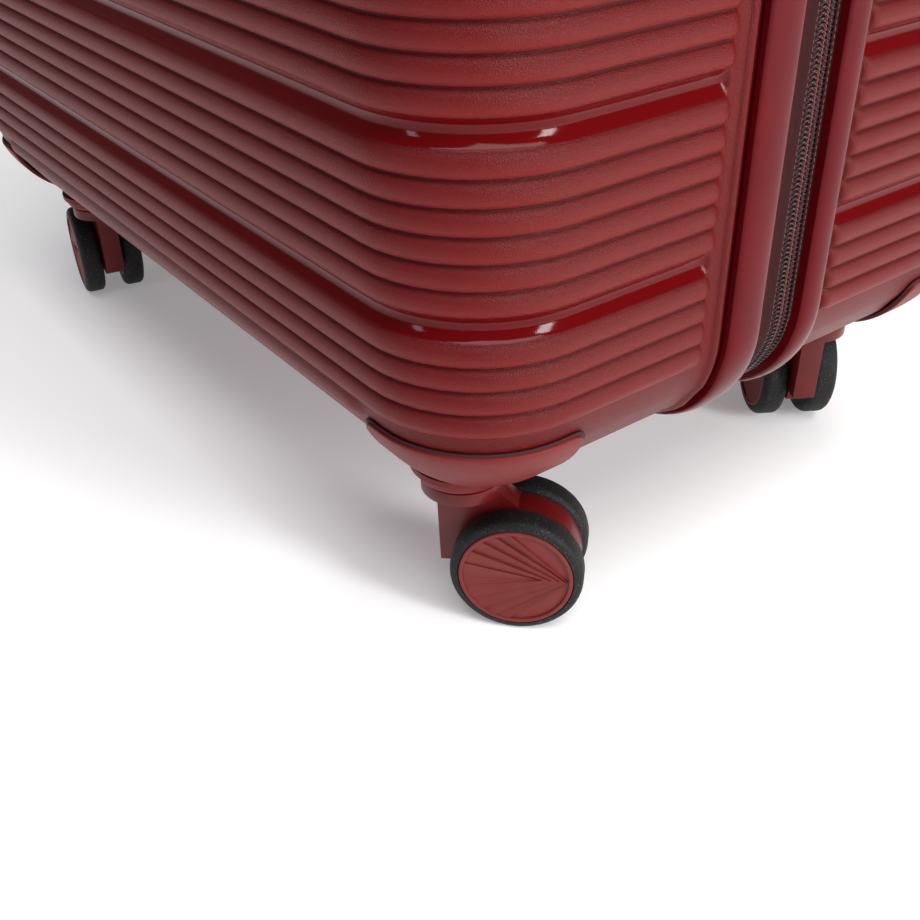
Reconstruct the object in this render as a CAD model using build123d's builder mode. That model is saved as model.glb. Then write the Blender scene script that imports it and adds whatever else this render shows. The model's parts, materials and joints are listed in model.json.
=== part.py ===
"""Hard-shell spinner suitcase: two ribbed shells joined by a zip and a fabric hinge.

Frame: +Z up, origin on the floor under the middle of the case. X is the case's width, Y its depth.
The front half lies on -Y and swings open about an upright axis beside the -X wall.
"""
from build123d import *
from math import cos, radians, sin
import os

# driving dimensions, in millimetres
case_width = 494
case_depth = 310
shell_bottom = 76
shell_top = 744
wall = 2.5
outline_radius = 50
face_fillet = 46

# the seam between the halves, measured along Y
zip_y = 4.5
front_seam_y = -12.5
rear_seam_y = 11.5
front_trim_length = 17.5
rear_trim_length = 12
trim_overlap = 5
trim_proud = 4
trim_inner = 6
trim_round = 3
tooth_width = 4.6
tooth_gap = 0.1
tooth_outer = 1.4
tooth_inner = 4
tape_outer = 2
tape_inner = 3.2
hinge_low_z = 150
hinge_high_z = 670

# casters
wheel_radius = 27.5
tyre_bore = 21
cap_radius = 23.6
wheel_inner = 6.3
wheel_outer = 19
axle_radius = 3
axle_half_length = 16.5
running_gap = 0.05
hub_cap_seat = 17
kingpin_radius = 5
kingpin_length = 13.5
kingpin_bore_depth = 8
kingpin_x = 187
kingpin_y = 108
trail = 24
web_half = 5.5
mudguard_radius = 25.5
swivel_cap_bottom = 60
swivel_cap_top = 65.7
swivel_cap_radius = 17
boss_bottom = 66
boss_radius = 21
boss_round = 2.5
guard_proud = 2
guard_reach = 60
guard_top = 108
guard_from_seam = 20
casters = {
    "front_right": (1, -1, 44),
    "front_left": (-1, -1, 168),
    "rear_right": (1, 1, 146),
    "rear_left": (-1, 1, 205),
}

# carry handles, set in bowls on the rear shell
bowl_length = 140
bowl_width = 46
bowl_depth = 14
bowl_wall = 1.5
bowl_round = 15
handle_rim = 7
rim_thickness = 1.8
rim_round = 20
handle_length = 134
handle_width = 20
handle_low = -1.5
handle_high = 3.8
handle_stem = (9, 14, 10)
side_handle_y = 62
side_handle_z = 410
top_handle_y = 60

# pull-up trolley handle
tray_half_x = 101
tray_y = (95, 137)
tray_floor = 698
tray_top = 746.5
tray_wall = 3
tray_round = 6
tube_x = 80
tube_y = 116
tube_bottom = 130
tube_size = (24, 12)
tube_wall = 1.2
tube_gap = 0.4
tube_round = 3.5
tube_bore_round = 2.3
inner_tube_low = 155
inner_tube_high = 722
bracket_levels = (150, 400, 640)
bracket_height = 16
bracket_width = 34
bracket_rim = 6
back_wall_y = 152.4
grip_top = 750
grip_half_x = 92
grip_depth = 24
grip_height = 14
grip_block = (23, 22)
button_size = (34, 12)
button_gap = 0.6
button_sink = 2.8
button_rise = 0.8

# combination lock on the front shell's +X wall
lock_y = -52
lock_z = 410
lock_size = (14, 38, 84)
lock_proud = 3.4
dial_radius = 6.5
dial_width = 6
dial_pitch = 10
dial_pin_radius = 1.2
dial_offset_y = -6
dial_offset_z = -14
lock_button_size = (4, 14, 12)
lock_button_offset_y = -4
lock_button_offset_z = 27

# zip sliders, feet and linings
slider_z = {"upper": 468, "lower": 352}
slider_lift = 0.3
slider_width = 13
slider_thickness = 2.2
slider_pin_height = 3.7
slider_pin_radius = 0.7
slider_ear_rise = 2.3
pull_knuckle_radius = 1.35
foot_size = (52, 15)
foot_height = 3.8
foot_y = 84
foot_levels = (190, 630)
strap_width = 25
strap_length = 570
strap_tilt = 52
lining_gap = 0.8
lining_thickness = 1
lining_in = 3

mid_z = (shell_bottom + shell_top) / 2
case_height = shell_top - shell_bottom
half_width = case_width / 2
half_depth = case_depth / 2
lock_face = half_width + lock_proud


def write(part, name):
    """Give the finished piece its node name and write its file."""
    part.label = name
    export_step(part, "parts/" + name + ".step")


def outline(grow, mode=Mode.ADD):
    """The case's outline seen from the front, grown outwards by `grow`."""
    with Locations((0, mid_z)):
        RectangleRounded(case_width + 2 * grow, case_height + 2 * grow, outline_radius + grow, mode=mode)


def half_block(y_low, y_high, grow):
    """A solid half of the case between two Y planes, its far face rounded all round."""
    far_is_front = y_low < 0
    with BuildPart() as block:
        with BuildSketch(Plane.XZ.offset(-y_high)):
            outline(grow)
        extrude(amount=y_high - y_low)
        far_face = block.faces().sort_by(Axis.Y)[0 if far_is_front else -1]
        fillet(far_face.edges(), radius=face_fillet + grow)
    return block.part


def half_shell(y_low, y_high, grow, thickness):
    """A hollow half, open at the seam."""
    far_is_front = y_low < 0
    with BuildPart() as shell:
        add(half_block(y_low, y_high, grow))
        if far_is_front:
            add(half_block(y_low + thickness, y_high, grow - thickness), mode=Mode.SUBTRACT)
        else:
            add(half_block(y_low, y_high - thickness, grow - thickness), mode=Mode.SUBTRACT)
    return shell.part


def band(y_low, y_high, outer, inner):
    """A closed band along the case's outline."""
    with BuildPart() as ring:
        with BuildSketch(Plane.XZ.offset(-y_high)):
            outline(outer)
            outline(inner, mode=Mode.SUBTRACT)
        extrude(amount=y_high - y_low)
    return ring.part


def edge_trim(seam_y, direction, length):
    """The bead that grips a shell's edge: a U section with a rounded outside."""
    far_y = seam_y + direction * length
    slot_y = seam_y + direction * trim_overlap
    with BuildPart() as trim:
        add(band(min(seam_y, far_y), max(seam_y, far_y), trim_proud, -trim_inner))
        outer_edges = trim.edges().filter_by(lambda e: abs(e.bounding_box().size.X) > 300)
        rim = outer_edges.sort_by(Axis.Z)
        fillet([rim[0], rim[1], rim[-1], rim[-2]], radius=trim_round)
        add(band(min(slot_y, far_y), max(slot_y, far_y), 0, -wall), mode=Mode.SUBTRACT)
    return trim.part


def seam_strip(y_low, y_high, outer, inner):
    """A band that leaves out the hinge side, where the fabric hinge is sewn in."""
    with BuildPart() as strip:
        add(band(y_low, y_high, outer, inner))
        with Locations((-half_width, (y_low + y_high) / 2, (hinge_low_z + hinge_high_z) / 2)):
            Box(40, 60, hinge_high_z - hinge_low_z, mode=Mode.SUBTRACT)
    return strip.part


def corner_guard(side_x, side_y):
    """The moulded guard round a bottom corner, with the boss that holds the caster's kingpin."""
    y_far = side_y * half_depth
    y_low = min(y_far, side_y * guard_from_seam)
    y_high = max(y_far, side_y * guard_from_seam)
    reach_x = side_x * (half_width - guard_reach / 2 + 5)
    reach_y = side_y * (half_depth - guard_reach / 2 + 5)
    with BuildPart() as guard:
        if side_y < 0:
            add(half_block(y_low - guard_proud, y_high, guard_proud))
        else:
            add(half_block(y_low, y_high + guard_proud, guard_proud))
        add(half_block(y_low, y_high, 0), mode=Mode.SUBTRACT)
        with Locations((reach_x, reach_y, guard_top / 2)):
            Box(guard_reach + 10, guard_reach + 10, guard_top, mode=Mode.INTERSECT)
        with BuildSketch(Plane.XY.offset(boss_bottom)):
            with Locations((side_x * kingpin_x, side_y * kingpin_y)):
                Circle(boss_radius)
        extrude(amount=shell_bottom - boss_bottom)
        bottom_rim = guard.edges().filter_by(GeomType.CIRCLE).group_by(Axis.Z)[0]
        fillet(bottom_rim, radius=boss_round)
        with BuildSketch(Plane.XY.offset(boss_bottom)):
            with Locations((side_x * kingpin_x, side_y * kingpin_y)):
                Circle(kingpin_radius + running_gap)
        extrude(amount=kingpin_bore_depth, mode=Mode.SUBTRACT)
    return guard.part


def caster_plane(corner):
    """The wheels' middle plane: local x along the trail, local y up, normal along the axle."""
    side_x, side_y, yaw = casters[corner]
    trail_x = cos(radians(yaw))
    trail_y = sin(radians(yaw))
    origin = (side_x * kingpin_x, side_y * kingpin_y, 0)
    return Plane(origin=origin, x_dir=(trail_x, trail_y, 0), z_dir=(trail_y, -trail_x, 0))


def caster_fork(corner):
    """Kingpin, swivel cap and the central web with its arched mudguard."""
    plane = caster_plane(corner)
    side_x, side_y, _ = casters[corner]
    with BuildPart() as fork:
        with BuildSketch(plane.offset(-web_half)):
            with Locations((trail, wheel_radius)):
                Circle(mudguard_radius)
            with Locations((trail / 2, 8)):
                Rectangle(2 * trail + 60, 20, mode=Mode.SUBTRACT)
            with BuildLine():
                Polyline((-9, 24), (-10, 62), (14, 62), (24, 53), (14, 24), (-9, 24))
            make_face()
        extrude(amount=2 * web_half)
        with BuildSketch(Plane.XY.offset(swivel_cap_bottom)):
            with Locations((side_x * kingpin_x, side_y * kingpin_y)):
                Circle(swivel_cap_radius)
        extrude(amount=swivel_cap_top - swivel_cap_bottom)
        with BuildSketch(Plane.XY.offset(swivel_cap_bottom)):
            with Locations((side_x * kingpin_x, side_y * kingpin_y)):
                Circle(kingpin_radius)
        extrude(amount=kingpin_length)
        with BuildSketch(plane.offset(-2 * web_half)):
            with Locations((trail, wheel_radius)):
                Circle(axle_radius)
        extrude(amount=4 * web_half, mode=Mode.SUBTRACT)
    return fork.part


def axle(corner):
    """The steel pin that carries both wheels."""
    with BuildPart() as pin:
        with BuildSketch(caster_plane(corner).offset(-axle_half_length)):
            with Locations((trail, wheel_radius)):
                Circle(axle_radius)
        extrude(amount=2 * axle_half_length)
    return pin.part


def wheel_profile_plane(corner, side):
    """A plane through the axle: local x is the radius, local y runs outwards along the axle."""
    middle = caster_plane(corner)
    centre = middle.from_local_coords((trail, wheel_radius, 0))
    outward = middle.z_dir * side
    return Plane(origin=centre, x_dir=(0, 0, 1), z_dir=Vector(0, 0, 1).cross(outward))


def wheel_hub(corner, side):
    """Moulded hub with a wide cap on its outer side, bored blind for the axle."""
    plane = wheel_profile_plane(corner, side)
    bore = axle_radius + running_gap
    with BuildPart() as hub:
        with BuildSketch(plane):
            with BuildLine():
                Polyline((bore, wheel_inner), (tyre_bore, wheel_inner), (tyre_bore, hub_cap_seat),
                         (cap_radius, hub_cap_seat), (cap_radius, wheel_outer - 0.6),
                         (cap_radius - 1, wheel_outer), (0, wheel_outer), (0, hub_cap_seat),
                         (bore, hub_cap_seat), (bore, wheel_inner))
            make_face()
        revolve(axis=Axis(plane.origin, plane.y_dir))
    return hub.part


def tyre(corner, side):
    """Rubber tread pressed on the hub, with rounded shoulders."""
    plane = wheel_profile_plane(corner, side)
    tyre_face = wheel_outer - 0.4
    with BuildPart() as tread:
        with BuildSketch(plane):
            with BuildLine():
                FilletPolyline((cap_radius, tyre_face), (wheel_radius, tyre_face),
                               (wheel_radius, wheel_inner), (tyre_bore, wheel_inner), radius=3)
                Polyline((tyre_bore, wheel_inner), (tyre_bore, hub_cap_seat), (cap_radius, hub_cap_seat),
                         (cap_radius, tyre_face))
            make_face()
        revolve(axis=Axis(plane.origin, plane.y_dir))
    return tread.part


def handle_base(plane):
    """A rim plate with a sunk bowl that gives the fingers room behind the handle."""
    with BuildPart() as base:
        with BuildSketch(plane):
            RectangleRounded(bowl_length + 2 * handle_rim, bowl_width + 2 * handle_rim, rim_round)
        extrude(amount=rim_thickness)
        with BuildSketch(plane):
            RectangleRounded(bowl_length + 2 * bowl_wall, bowl_width + 2 * bowl_wall, bowl_round)
        extrude(amount=-bowl_depth)
        with BuildSketch(plane.offset(rim_thickness)):
            RectangleRounded(bowl_length, bowl_width, bowl_round - bowl_wall)
        extrude(amount=-(bowl_depth + rim_thickness - bowl_wall), mode=Mode.SUBTRACT)
    return base.part


def carry_handle(plane):
    """The grab bar, with a stem at each end that slides in the bowl."""
    stem_length, stem_width, stem_depth = handle_stem
    with BuildPart() as handle:
        with BuildSketch(plane.offset(handle_low)):
            RectangleRounded(handle_length, handle_width, 9)
        extrude(amount=handle_high - handle_low)
        fillet(handle.faces().sort_by(Axis(plane.origin, plane.z_dir))[-1].edges(), radius=2)
        with BuildSketch(plane.offset(handle_low)):
            with GridLocations(handle_length - 16, 0, 2, 1):
                RectangleRounded(stem_length, stem_width, 2)
        extrude(amount=-stem_depth)
    return handle.part


def foot_group(sign_y):
    """Two low feet that the case lies on when it rests on its hinge side."""
    with BuildPart() as feet:
        with BuildSketch(Plane.YZ.offset(-half_width)):
            with Locations([(sign_y * foot_y, level) for level in foot_levels]):
                SlotOverall(foot_size[0], foot_size[1])
        extrude(amount=-foot_height)
        fillet(feet.faces().group_by(Axis.X)[0].edges(), radius=1.5)
    return feet.part


def zip_slider(z):
    """Zip slider body with two ears and the pin that the pull hangs on."""
    face = half_width - tooth_outer + slider_lift
    with BuildPart() as slider:
        with BuildSketch(Plane.YZ.offset(face)):
            with Locations((zip_y, z)):
                Trapezoid(slider_width, 15, 83, rotation=180)
        extrude(amount=slider_thickness)
        fillet(slider.edges().filter_by(Axis.X), radius=1.5)
        with BuildSketch(Plane.YZ.offset(face + slider_thickness)):
            with Locations((zip_y - 2.9, z), (zip_y + 2.9, z)):
                Rectangle(1.2, 4)
        extrude(amount=slider_ear_rise)
        with BuildSketch(Plane.XZ.offset(-zip_y - 3.5)):
            with Locations((face + slider_pin_height, z)):
                Circle(slider_pin_radius)
        extrude(amount=7)
    return slider.part


def zip_pull(z):
    """The flat pull that hangs from the slider's pin."""
    pin_x = half_width - tooth_outer + slider_lift + slider_pin_height
    with BuildPart() as pull:
        with BuildSketch(Plane.XZ.offset(-zip_y - 2)):
            with Locations((pin_x, z)):
                Circle(pull_knuckle_radius)
            with Locations((pin_x, z - 3)):
                Rectangle(1.6, 5)
        extrude(amount=4)
        with BuildSketch(Plane.YZ.offset(pin_x - 0.8)):
            with Locations((zip_y, z - 19)):
                RectangleRounded(9, 28, 4)
            with Locations((zip_y, z - 28)):
                Circle(2, mode=Mode.SUBTRACT)
        extrude(amount=1.6)
        with BuildSketch(Plane.XZ.offset(-zip_y - 3)):
            with Locations((pin_x, z)):
                Circle(slider_pin_radius + 0.08)
        extrude(amount=6, mode=Mode.SUBTRACT)
    return pull.part


def oval_tube(z_low, z_high, size, thickness):
    """The pair of flat-sided tubes of one stage of the trolley."""
    with BuildPart() as tubes:
        with BuildSketch(Plane.XY.offset(z_low)):
            with Locations((-tube_x, tube_y), (tube_x, tube_y)):
                RectangleRounded(size[0], size[1], tube_round)
                RectangleRounded(size[0] - 2 * thickness, size[1] - 2 * thickness, tube_bore_round,
                                 mode=Mode.SUBTRACT)
        extrude(amount=z_high - z_low)
    return tubes.part


side_plane = Plane(origin=(half_width, side_handle_y, side_handle_z), x_dir=(0, 0, 1), z_dir=(1, 0, 0))
top_plane = Plane(origin=(0, top_handle_y, shell_top), x_dir=(1, 0, 0), z_dir=(0, 0, 1))
lock_centre = (lock_face - lock_size[0] / 2, lock_y, lock_z)
tray_mid_y = (tray_y[0] + tray_y[1]) / 2
tray_depth = tray_y[1] - tray_y[0]

os.makedirs("parts", exist_ok=True)

# shells, each cut where a lock, bowl or tray passes through its wall
with BuildPart() as front_shell:
    add(half_shell(-half_depth, front_seam_y - trim_overlap, 0, wall))
    with Locations(lock_centre):
        Box(2 * lock_size[0], lock_size[1] - 4, lock_size[2] - 4, mode=Mode.SUBTRACT)
write(front_shell.part, "front_shell")

with BuildPart() as rear_shell:
    add(half_shell(rear_seam_y + trim_overlap, half_depth, 0, wall))
    for handle_plane in (side_plane, top_plane):
        with BuildSketch(handle_plane.offset(2)):
            RectangleRounded(bowl_length + 2 * bowl_wall, bowl_width + 2 * bowl_wall, bowl_round)
        extrude(amount=-8, mode=Mode.SUBTRACT)
    with Locations((0, tray_mid_y, shell_top)):
        Box(2 * tray_half_x, tray_depth, 60, mode=Mode.SUBTRACT)
write(rear_shell.part, "rear_shell")

# edge beads, zip tapes and teeth
write(edge_trim(front_seam_y, -1, front_trim_length), "front_edge_trim")
write(edge_trim(rear_seam_y, 1, rear_trim_length), "rear_edge_trim")
front_teeth_y = (zip_y - tooth_width, zip_y - tooth_gap)
rear_teeth_y = (zip_y + tooth_gap, zip_y + tooth_width)
write(seam_strip(front_seam_y, front_teeth_y[0], -tape_outer, -tape_inner), "front_zip_tape")
write(seam_strip(rear_teeth_y[1], rear_seam_y, -tape_outer, -tape_inner), "rear_zip_tape")
write(seam_strip(front_teeth_y[0], front_teeth_y[1], -tooth_outer, -tooth_inner), "front_zip_teeth")
write(seam_strip(rear_teeth_y[0], rear_teeth_y[1], -tooth_outer, -tooth_inner), "rear_zip_teeth")

# fabric hinge between the halves
with BuildPart() as hinge_gusset:
    with BuildSketch(Plane.YZ.offset(-half_width + tape_outer)):
        with Locations(((front_seam_y + rear_seam_y) / 2, (hinge_low_z + hinge_high_z) / 2)):
            Rectangle(rear_seam_y - front_seam_y - 0.6, hinge_high_z - hinge_low_z - 1)
    extrude(amount=tape_inner - tape_outer)
write(hinge_gusset.part, "hinge_gusset")

# corner guards and casters
for corner in casters:
    write(corner_guard(casters[corner][0], casters[corner][1]), "wheel_housing_" + corner)
    write(caster_fork(corner), "caster_fork_" + corner)
    write(axle(corner), "caster_axle_" + corner)
    for wheel_name, wheel_side in (("outer", 1), ("inner", -1)):
        write(wheel_hub(corner, wheel_side), "wheel_hub_" + corner + "_" + wheel_name)
        write(tyre(corner, wheel_side), "tyre_" + corner + "_" + wheel_name)

# carry handles
write(handle_base(side_plane), "side_handle_base")
write(carry_handle(side_plane), "side_handle")
write(handle_base(top_plane), "top_handle_base")
write(carry_handle(top_plane), "top_handle")

# feet on the hinge side
write(foot_group(-1), "front_side_feet")
write(foot_group(1), "rear_side_feet")

# zip sliders and their pulls
for slider_name in slider_z:
    write(zip_slider(slider_z[slider_name]), "zip_slider_" + slider_name)
    write(zip_pull(slider_z[slider_name]), "zip_pull_" + slider_name)

# combination lock: body, release button and three number dials
dial_axis_x = lock_face + 0.4 - dial_radius
dial_axis_y = lock_y + dial_offset_y
middle_dial_z = lock_z + dial_offset_z
with BuildPart() as lock_body:
    with BuildSketch(Plane.YZ.offset(half_width)):
        with Locations((lock_y, lock_z)):
            RectangleRounded(lock_size[1], lock_size[2], 8)
    extrude(amount=lock_proud)
    fillet(lock_body.faces().sort_by(Axis.X)[-1].edges(), radius=1.2)
    with BuildSketch(Plane.YZ.offset(half_width + 1)):
        with Locations((lock_y, lock_z)):
            Rectangle(lock_size[1] - 4, lock_size[2] - 4)
    extrude(amount=lock_proud - 1 - lock_size[0])
    for dial_index in (-1, 0, 1):
        with Locations((dial_axis_x, dial_axis_y, middle_dial_z + dial_index * dial_pitch)):
            Box(2 * dial_radius + 1, 2 * dial_radius + 1, dial_width + 0.6, mode=Mode.SUBTRACT)
    with Locations((lock_face - 2, lock_y + lock_button_offset_y, lock_z + lock_button_offset_z)):
        Box(8, lock_button_size[1] + button_gap, lock_button_size[2] + button_gap, mode=Mode.SUBTRACT)
    with BuildSketch(Plane.XY.offset(middle_dial_z - 2 * dial_pitch)):
        with Locations((dial_axis_x, dial_axis_y)):
            Circle(dial_pin_radius)
    extrude(amount=4 * dial_pitch)
write(lock_body.part, "lock_body")

with BuildPart() as lock_button:
    with Locations((lock_face - 1.6, lock_y + lock_button_offset_y, lock_z + lock_button_offset_z)):
        Box(lock_button_size[0], lock_button_size[1], lock_button_size[2])
    fillet(lock_button.faces().sort_by(Axis.X)[-1].edges(), radius=0.8)
write(lock_button.part, "lock_button")

for dial_index in (-1, 0, 1):
    with BuildPart() as dial:
        with BuildSketch(Plane.XY.offset(middle_dial_z + dial_index * dial_pitch - dial_width / 2)):
            with Locations((dial_axis_x, dial_axis_y)):
                Circle(dial_radius)
                Circle(dial_pin_radius + running_gap, mode=Mode.SUBTRACT)
        extrude(amount=dial_width)
    write(dial.part, "lock_dial_" + str(dial_index + 2))

# trolley: tray in the top wall, fixed tubes, sliding tubes, grip and its release button
with BuildPart() as handle_bezel:
    with Locations((0, tray_mid_y, (tray_floor + tray_top) / 2)):
        Box(2 * tray_half_x, tray_depth, tray_top - tray_floor)
    fillet(handle_bezel.edges().filter_by(Axis.Z), radius=tray_round)
    with BuildSketch(Plane.XY.offset(shell_top)):
        with Locations((0, tray_mid_y)):
            RectangleRounded(2 * tray_half_x + 8, tray_depth + 6, 9)
    extrude(amount=tray_top - shell_top)
    fillet(handle_bezel.faces().sort_by(Axis.Z)[-1].outer_wire().edges(), radius=1.5)
    with BuildSketch(Plane.XY.offset(tray_floor + tray_wall)):
        with Locations((0, tray_mid_y)):
            RectangleRounded(2 * (tray_half_x - tray_wall), tray_depth - 2 * tray_wall, 4)
    extrude(amount=tray_top - tray_floor, mode=Mode.SUBTRACT)
    with BuildSketch(Plane.XY.offset(tray_floor)):
        with Locations((-tube_x, tube_y), (tube_x, tube_y)):
            RectangleRounded(tube_size[0] - 2 * tube_wall, tube_size[1] - 2 * tube_wall, tube_bore_round)
    extrude(amount=tray_wall, mode=Mode.SUBTRACT)
write(handle_bezel.part, "handle_bezel")

with BuildPart() as outer_tubes:
    add(oval_tube(tube_bottom, tray_floor, tube_size, tube_wall))
    for bracket_z in bracket_levels:
        block_y = (back_wall_y + tube_y + tube_size[1] / 2) / 2
        with Locations((-tube_x, block_y, bracket_z), (tube_x, block_y, bracket_z)):
            Box(bracket_width, back_wall_y - tube_y - tube_size[1] / 2, bracket_height)
        with BuildSketch(Plane.XY.offset(bracket_z - bracket_height / 2)):
            with Locations((-tube_x, tube_y), (tube_x, tube_y)):
                RectangleRounded(tube_size[0] + bracket_rim, tube_size[1] + bracket_rim, 4)
                RectangleRounded(tube_size[0] - 2 * tube_wall, tube_size[1] - 2 * tube_wall,
                                 tube_bore_round, mode=Mode.SUBTRACT)
        extrude(amount=bracket_height)
write(outer_tubes.part, "outer_tubes")

inner_size = (tube_size[0] - 2 * tube_wall - 2 * tube_gap, tube_size[1] - 2 * tube_wall - 2 * tube_gap)
write(oval_tube(inner_tube_low, inner_tube_high, inner_size, tube_wall), "inner_tubes")

with BuildPart() as trolley_grip:
    with Locations((0, tray_mid_y, grip_top - grip_height / 2)):
        Box(2 * grip_half_x, grip_depth, grip_height)
    fillet(trolley_grip.edges(), radius=4)
    with BuildSketch(Plane.XY.offset(inner_tube_high)):
        with Locations((-tube_x, tube_y), (tube_x, tube_y)):
            RectangleRounded(grip_block[0], grip_block[1], 5)
    extrude(amount=grip_top - inner_tube_high - grip_height / 2)
    with BuildSketch(Plane.XY.offset(grip_top)):
        with Locations((0, tray_mid_y)):
            SlotOverall(button_size[0] + button_gap, button_size[1] + button_gap)
    extrude(amount=-6, mode=Mode.SUBTRACT)
write(trolley_grip.part, "trolley_grip")

with BuildPart() as grip_button:
    with BuildSketch(Plane.XY.offset(grip_top - button_sink)):
        with Locations((0, tray_mid_y)):
            SlotOverall(button_size[0], button_size[1])
    extrude(amount=button_sink + button_rise)
    fillet(grip_button.faces().sort_by(Axis.Z)[-1].edges(), radius=1)
write(grip_button.part, "grip_button")

# fabric linings and the packing straps
lining_offset = wall + lining_gap
with BuildPart() as front_lining:
    add(half_shell(-half_depth + lining_offset, front_seam_y - front_trim_length, -lining_offset - lining_in,
                   lining_thickness))
    with Locations(lock_centre):
        Box(30, lock_size[1] + 4, lock_size[2] + 4, mode=Mode.SUBTRACT)
write(front_lining.part, "front_lining")

lining_back = tray_y[0] - 1.5
with BuildPart() as rear_lining:
    with BuildSketch(Plane.XZ.offset(-lining_back)):
        outline(-lining_offset - lining_in)
    extrude(amount=lining_back - rear_seam_y - rear_trim_length)
    with BuildSketch(Plane.XZ.offset(-lining_back + lining_thickness)):
        outline(-lining_offset - lining_in - lining_thickness)
    extrude(amount=lining_back, mode=Mode.SUBTRACT)
    for handle_plane in (side_plane, top_plane):
        with BuildSketch(handle_plane.offset(2)):
            RectangleRounded(bowl_length + 8, bowl_width + 8, 15)
        extrude(amount=-30, mode=Mode.SUBTRACT)
write(rear_lining.part, "rear_lining")

with BuildPart() as packing_straps:
    strap_plane = Plane.XZ.offset(-rear_seam_y - rear_trim_length - 3)
    with BuildSketch(strap_plane):
        for turn in (-strap_tilt, strap_tilt):
            with Locations(Location((0, mid_z, 0), turn)):
                Rectangle(strap_length, strap_width)
    extrude(amount=1.2)
    with BuildSketch(strap_plane):
        with Locations((0, mid_z)):
            RectangleRounded(60, 46, 6)
    extrude(amount=5)
    with BuildSketch(strap_plane.offset(-5)):
        outline(-lining_offset - 4.5)
    extrude(amount=20, mode=Mode.INTERSECT)
write(packing_straps.part, "packing_straps")
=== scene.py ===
import json
from math import asin, ceil, cos, hypot, pi, radians, sin, sqrt

import bmesh
import bpy
from mathutils import Matrix, Vector

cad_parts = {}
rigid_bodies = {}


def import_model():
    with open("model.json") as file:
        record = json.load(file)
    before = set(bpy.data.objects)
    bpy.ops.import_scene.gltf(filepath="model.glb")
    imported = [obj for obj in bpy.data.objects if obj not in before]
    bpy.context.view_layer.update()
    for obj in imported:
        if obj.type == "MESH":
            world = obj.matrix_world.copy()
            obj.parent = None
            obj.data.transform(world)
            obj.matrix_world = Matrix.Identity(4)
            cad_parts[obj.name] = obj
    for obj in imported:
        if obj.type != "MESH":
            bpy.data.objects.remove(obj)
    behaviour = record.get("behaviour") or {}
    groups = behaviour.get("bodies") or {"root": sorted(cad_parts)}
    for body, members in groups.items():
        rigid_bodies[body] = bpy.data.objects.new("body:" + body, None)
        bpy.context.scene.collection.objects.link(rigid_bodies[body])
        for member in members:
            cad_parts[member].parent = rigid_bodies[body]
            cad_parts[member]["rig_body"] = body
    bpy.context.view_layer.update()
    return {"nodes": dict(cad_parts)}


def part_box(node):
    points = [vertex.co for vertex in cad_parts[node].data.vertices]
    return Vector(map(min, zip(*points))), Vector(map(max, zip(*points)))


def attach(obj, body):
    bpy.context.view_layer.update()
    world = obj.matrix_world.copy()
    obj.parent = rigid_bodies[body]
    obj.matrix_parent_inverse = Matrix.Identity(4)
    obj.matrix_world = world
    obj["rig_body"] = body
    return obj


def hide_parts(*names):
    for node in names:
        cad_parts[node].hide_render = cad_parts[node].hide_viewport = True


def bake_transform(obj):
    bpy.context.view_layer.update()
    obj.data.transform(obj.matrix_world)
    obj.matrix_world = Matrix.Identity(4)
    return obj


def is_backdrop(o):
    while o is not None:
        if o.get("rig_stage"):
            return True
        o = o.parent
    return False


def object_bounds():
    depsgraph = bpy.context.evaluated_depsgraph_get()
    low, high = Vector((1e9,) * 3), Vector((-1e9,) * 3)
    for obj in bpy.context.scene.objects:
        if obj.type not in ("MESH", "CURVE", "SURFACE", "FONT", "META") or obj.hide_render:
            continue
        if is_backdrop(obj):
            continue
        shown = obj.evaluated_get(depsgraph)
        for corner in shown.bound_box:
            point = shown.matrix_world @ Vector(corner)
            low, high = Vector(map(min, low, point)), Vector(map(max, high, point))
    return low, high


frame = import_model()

scene = bpy.context.scene
MM = 0.001

# ---- Camera -----------------------------------------------------------------------------
# The camera looks down at the near bottom corner of the standing case, from beyond its
# opening side. Its place is given from the sharp corner of the front shell's box.
shell_low, shell_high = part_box("front_shell")
near_corner = Vector((shell_high[0], shell_low[1], 0))
camera_offset = Vector((0.2438, -0.1763, 0.3272))
camera_heading, camera_dip, camera_roll = radians(143.82), radians(34.2), radians(-1.26)
camera_data = bpy.data.cameras.new("camera")
camera_data.sensor_width = 36
camera_data.lens = 44.58
camera_data.clip_start = 0.01
camera = bpy.data.objects.new("camera", camera_data)
scene.collection.objects.link(camera)
scene.camera = camera
look = Vector((cos(camera_heading) * cos(camera_dip), sin(camera_heading) * cos(camera_dip),
               -sin(camera_dip)))
level = Vector((sin(camera_heading), -cos(camera_heading), 0))
upright = level.cross(look)
right = level * cos(camera_roll) + upright * sin(camera_roll)
above = upright * cos(camera_roll) - level * sin(camera_roll)
turn = Matrix((right, above, -look)).transposed().to_4x4()
camera.matrix_world = Matrix.Translation(near_corner + camera_offset) @ turn

# ---- Studio -----------------------------------------------------------------------------
# A pale floor with three soft boxes: the opening side is lit more than the wide face. The floor
# glows a little like a light table, so that light comes up under the ribs, and the sky behind
# it is shown paler than it lights.


def linear(hex_colour):
    """An sRGB hex colour as the linear colour that shaders take."""
    channels = [int(hex_colour[place:place + 2], 16) / 255 for place in (1, 3, 5)]
    return [c / 12.92 if c <= 0.04045 else ((c + 0.055) / 1.055) ** 2.4 for c in channels] + [1.0]


def add_node(tree, kind, inputs=None, **settings):
    """Adds a node with its settings; each input takes a value or another node's output."""
    node = tree.nodes.new(kind)
    for key, value in settings.items():
        setattr(node, key, value)
    for key, value in (inputs or {}).items():
        socket = node.inputs[key]
        if isinstance(value, bpy.types.NodeSocket):
            tree.links.new(value, socket)
        else:
            socket.default_value = value
    return node


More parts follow.
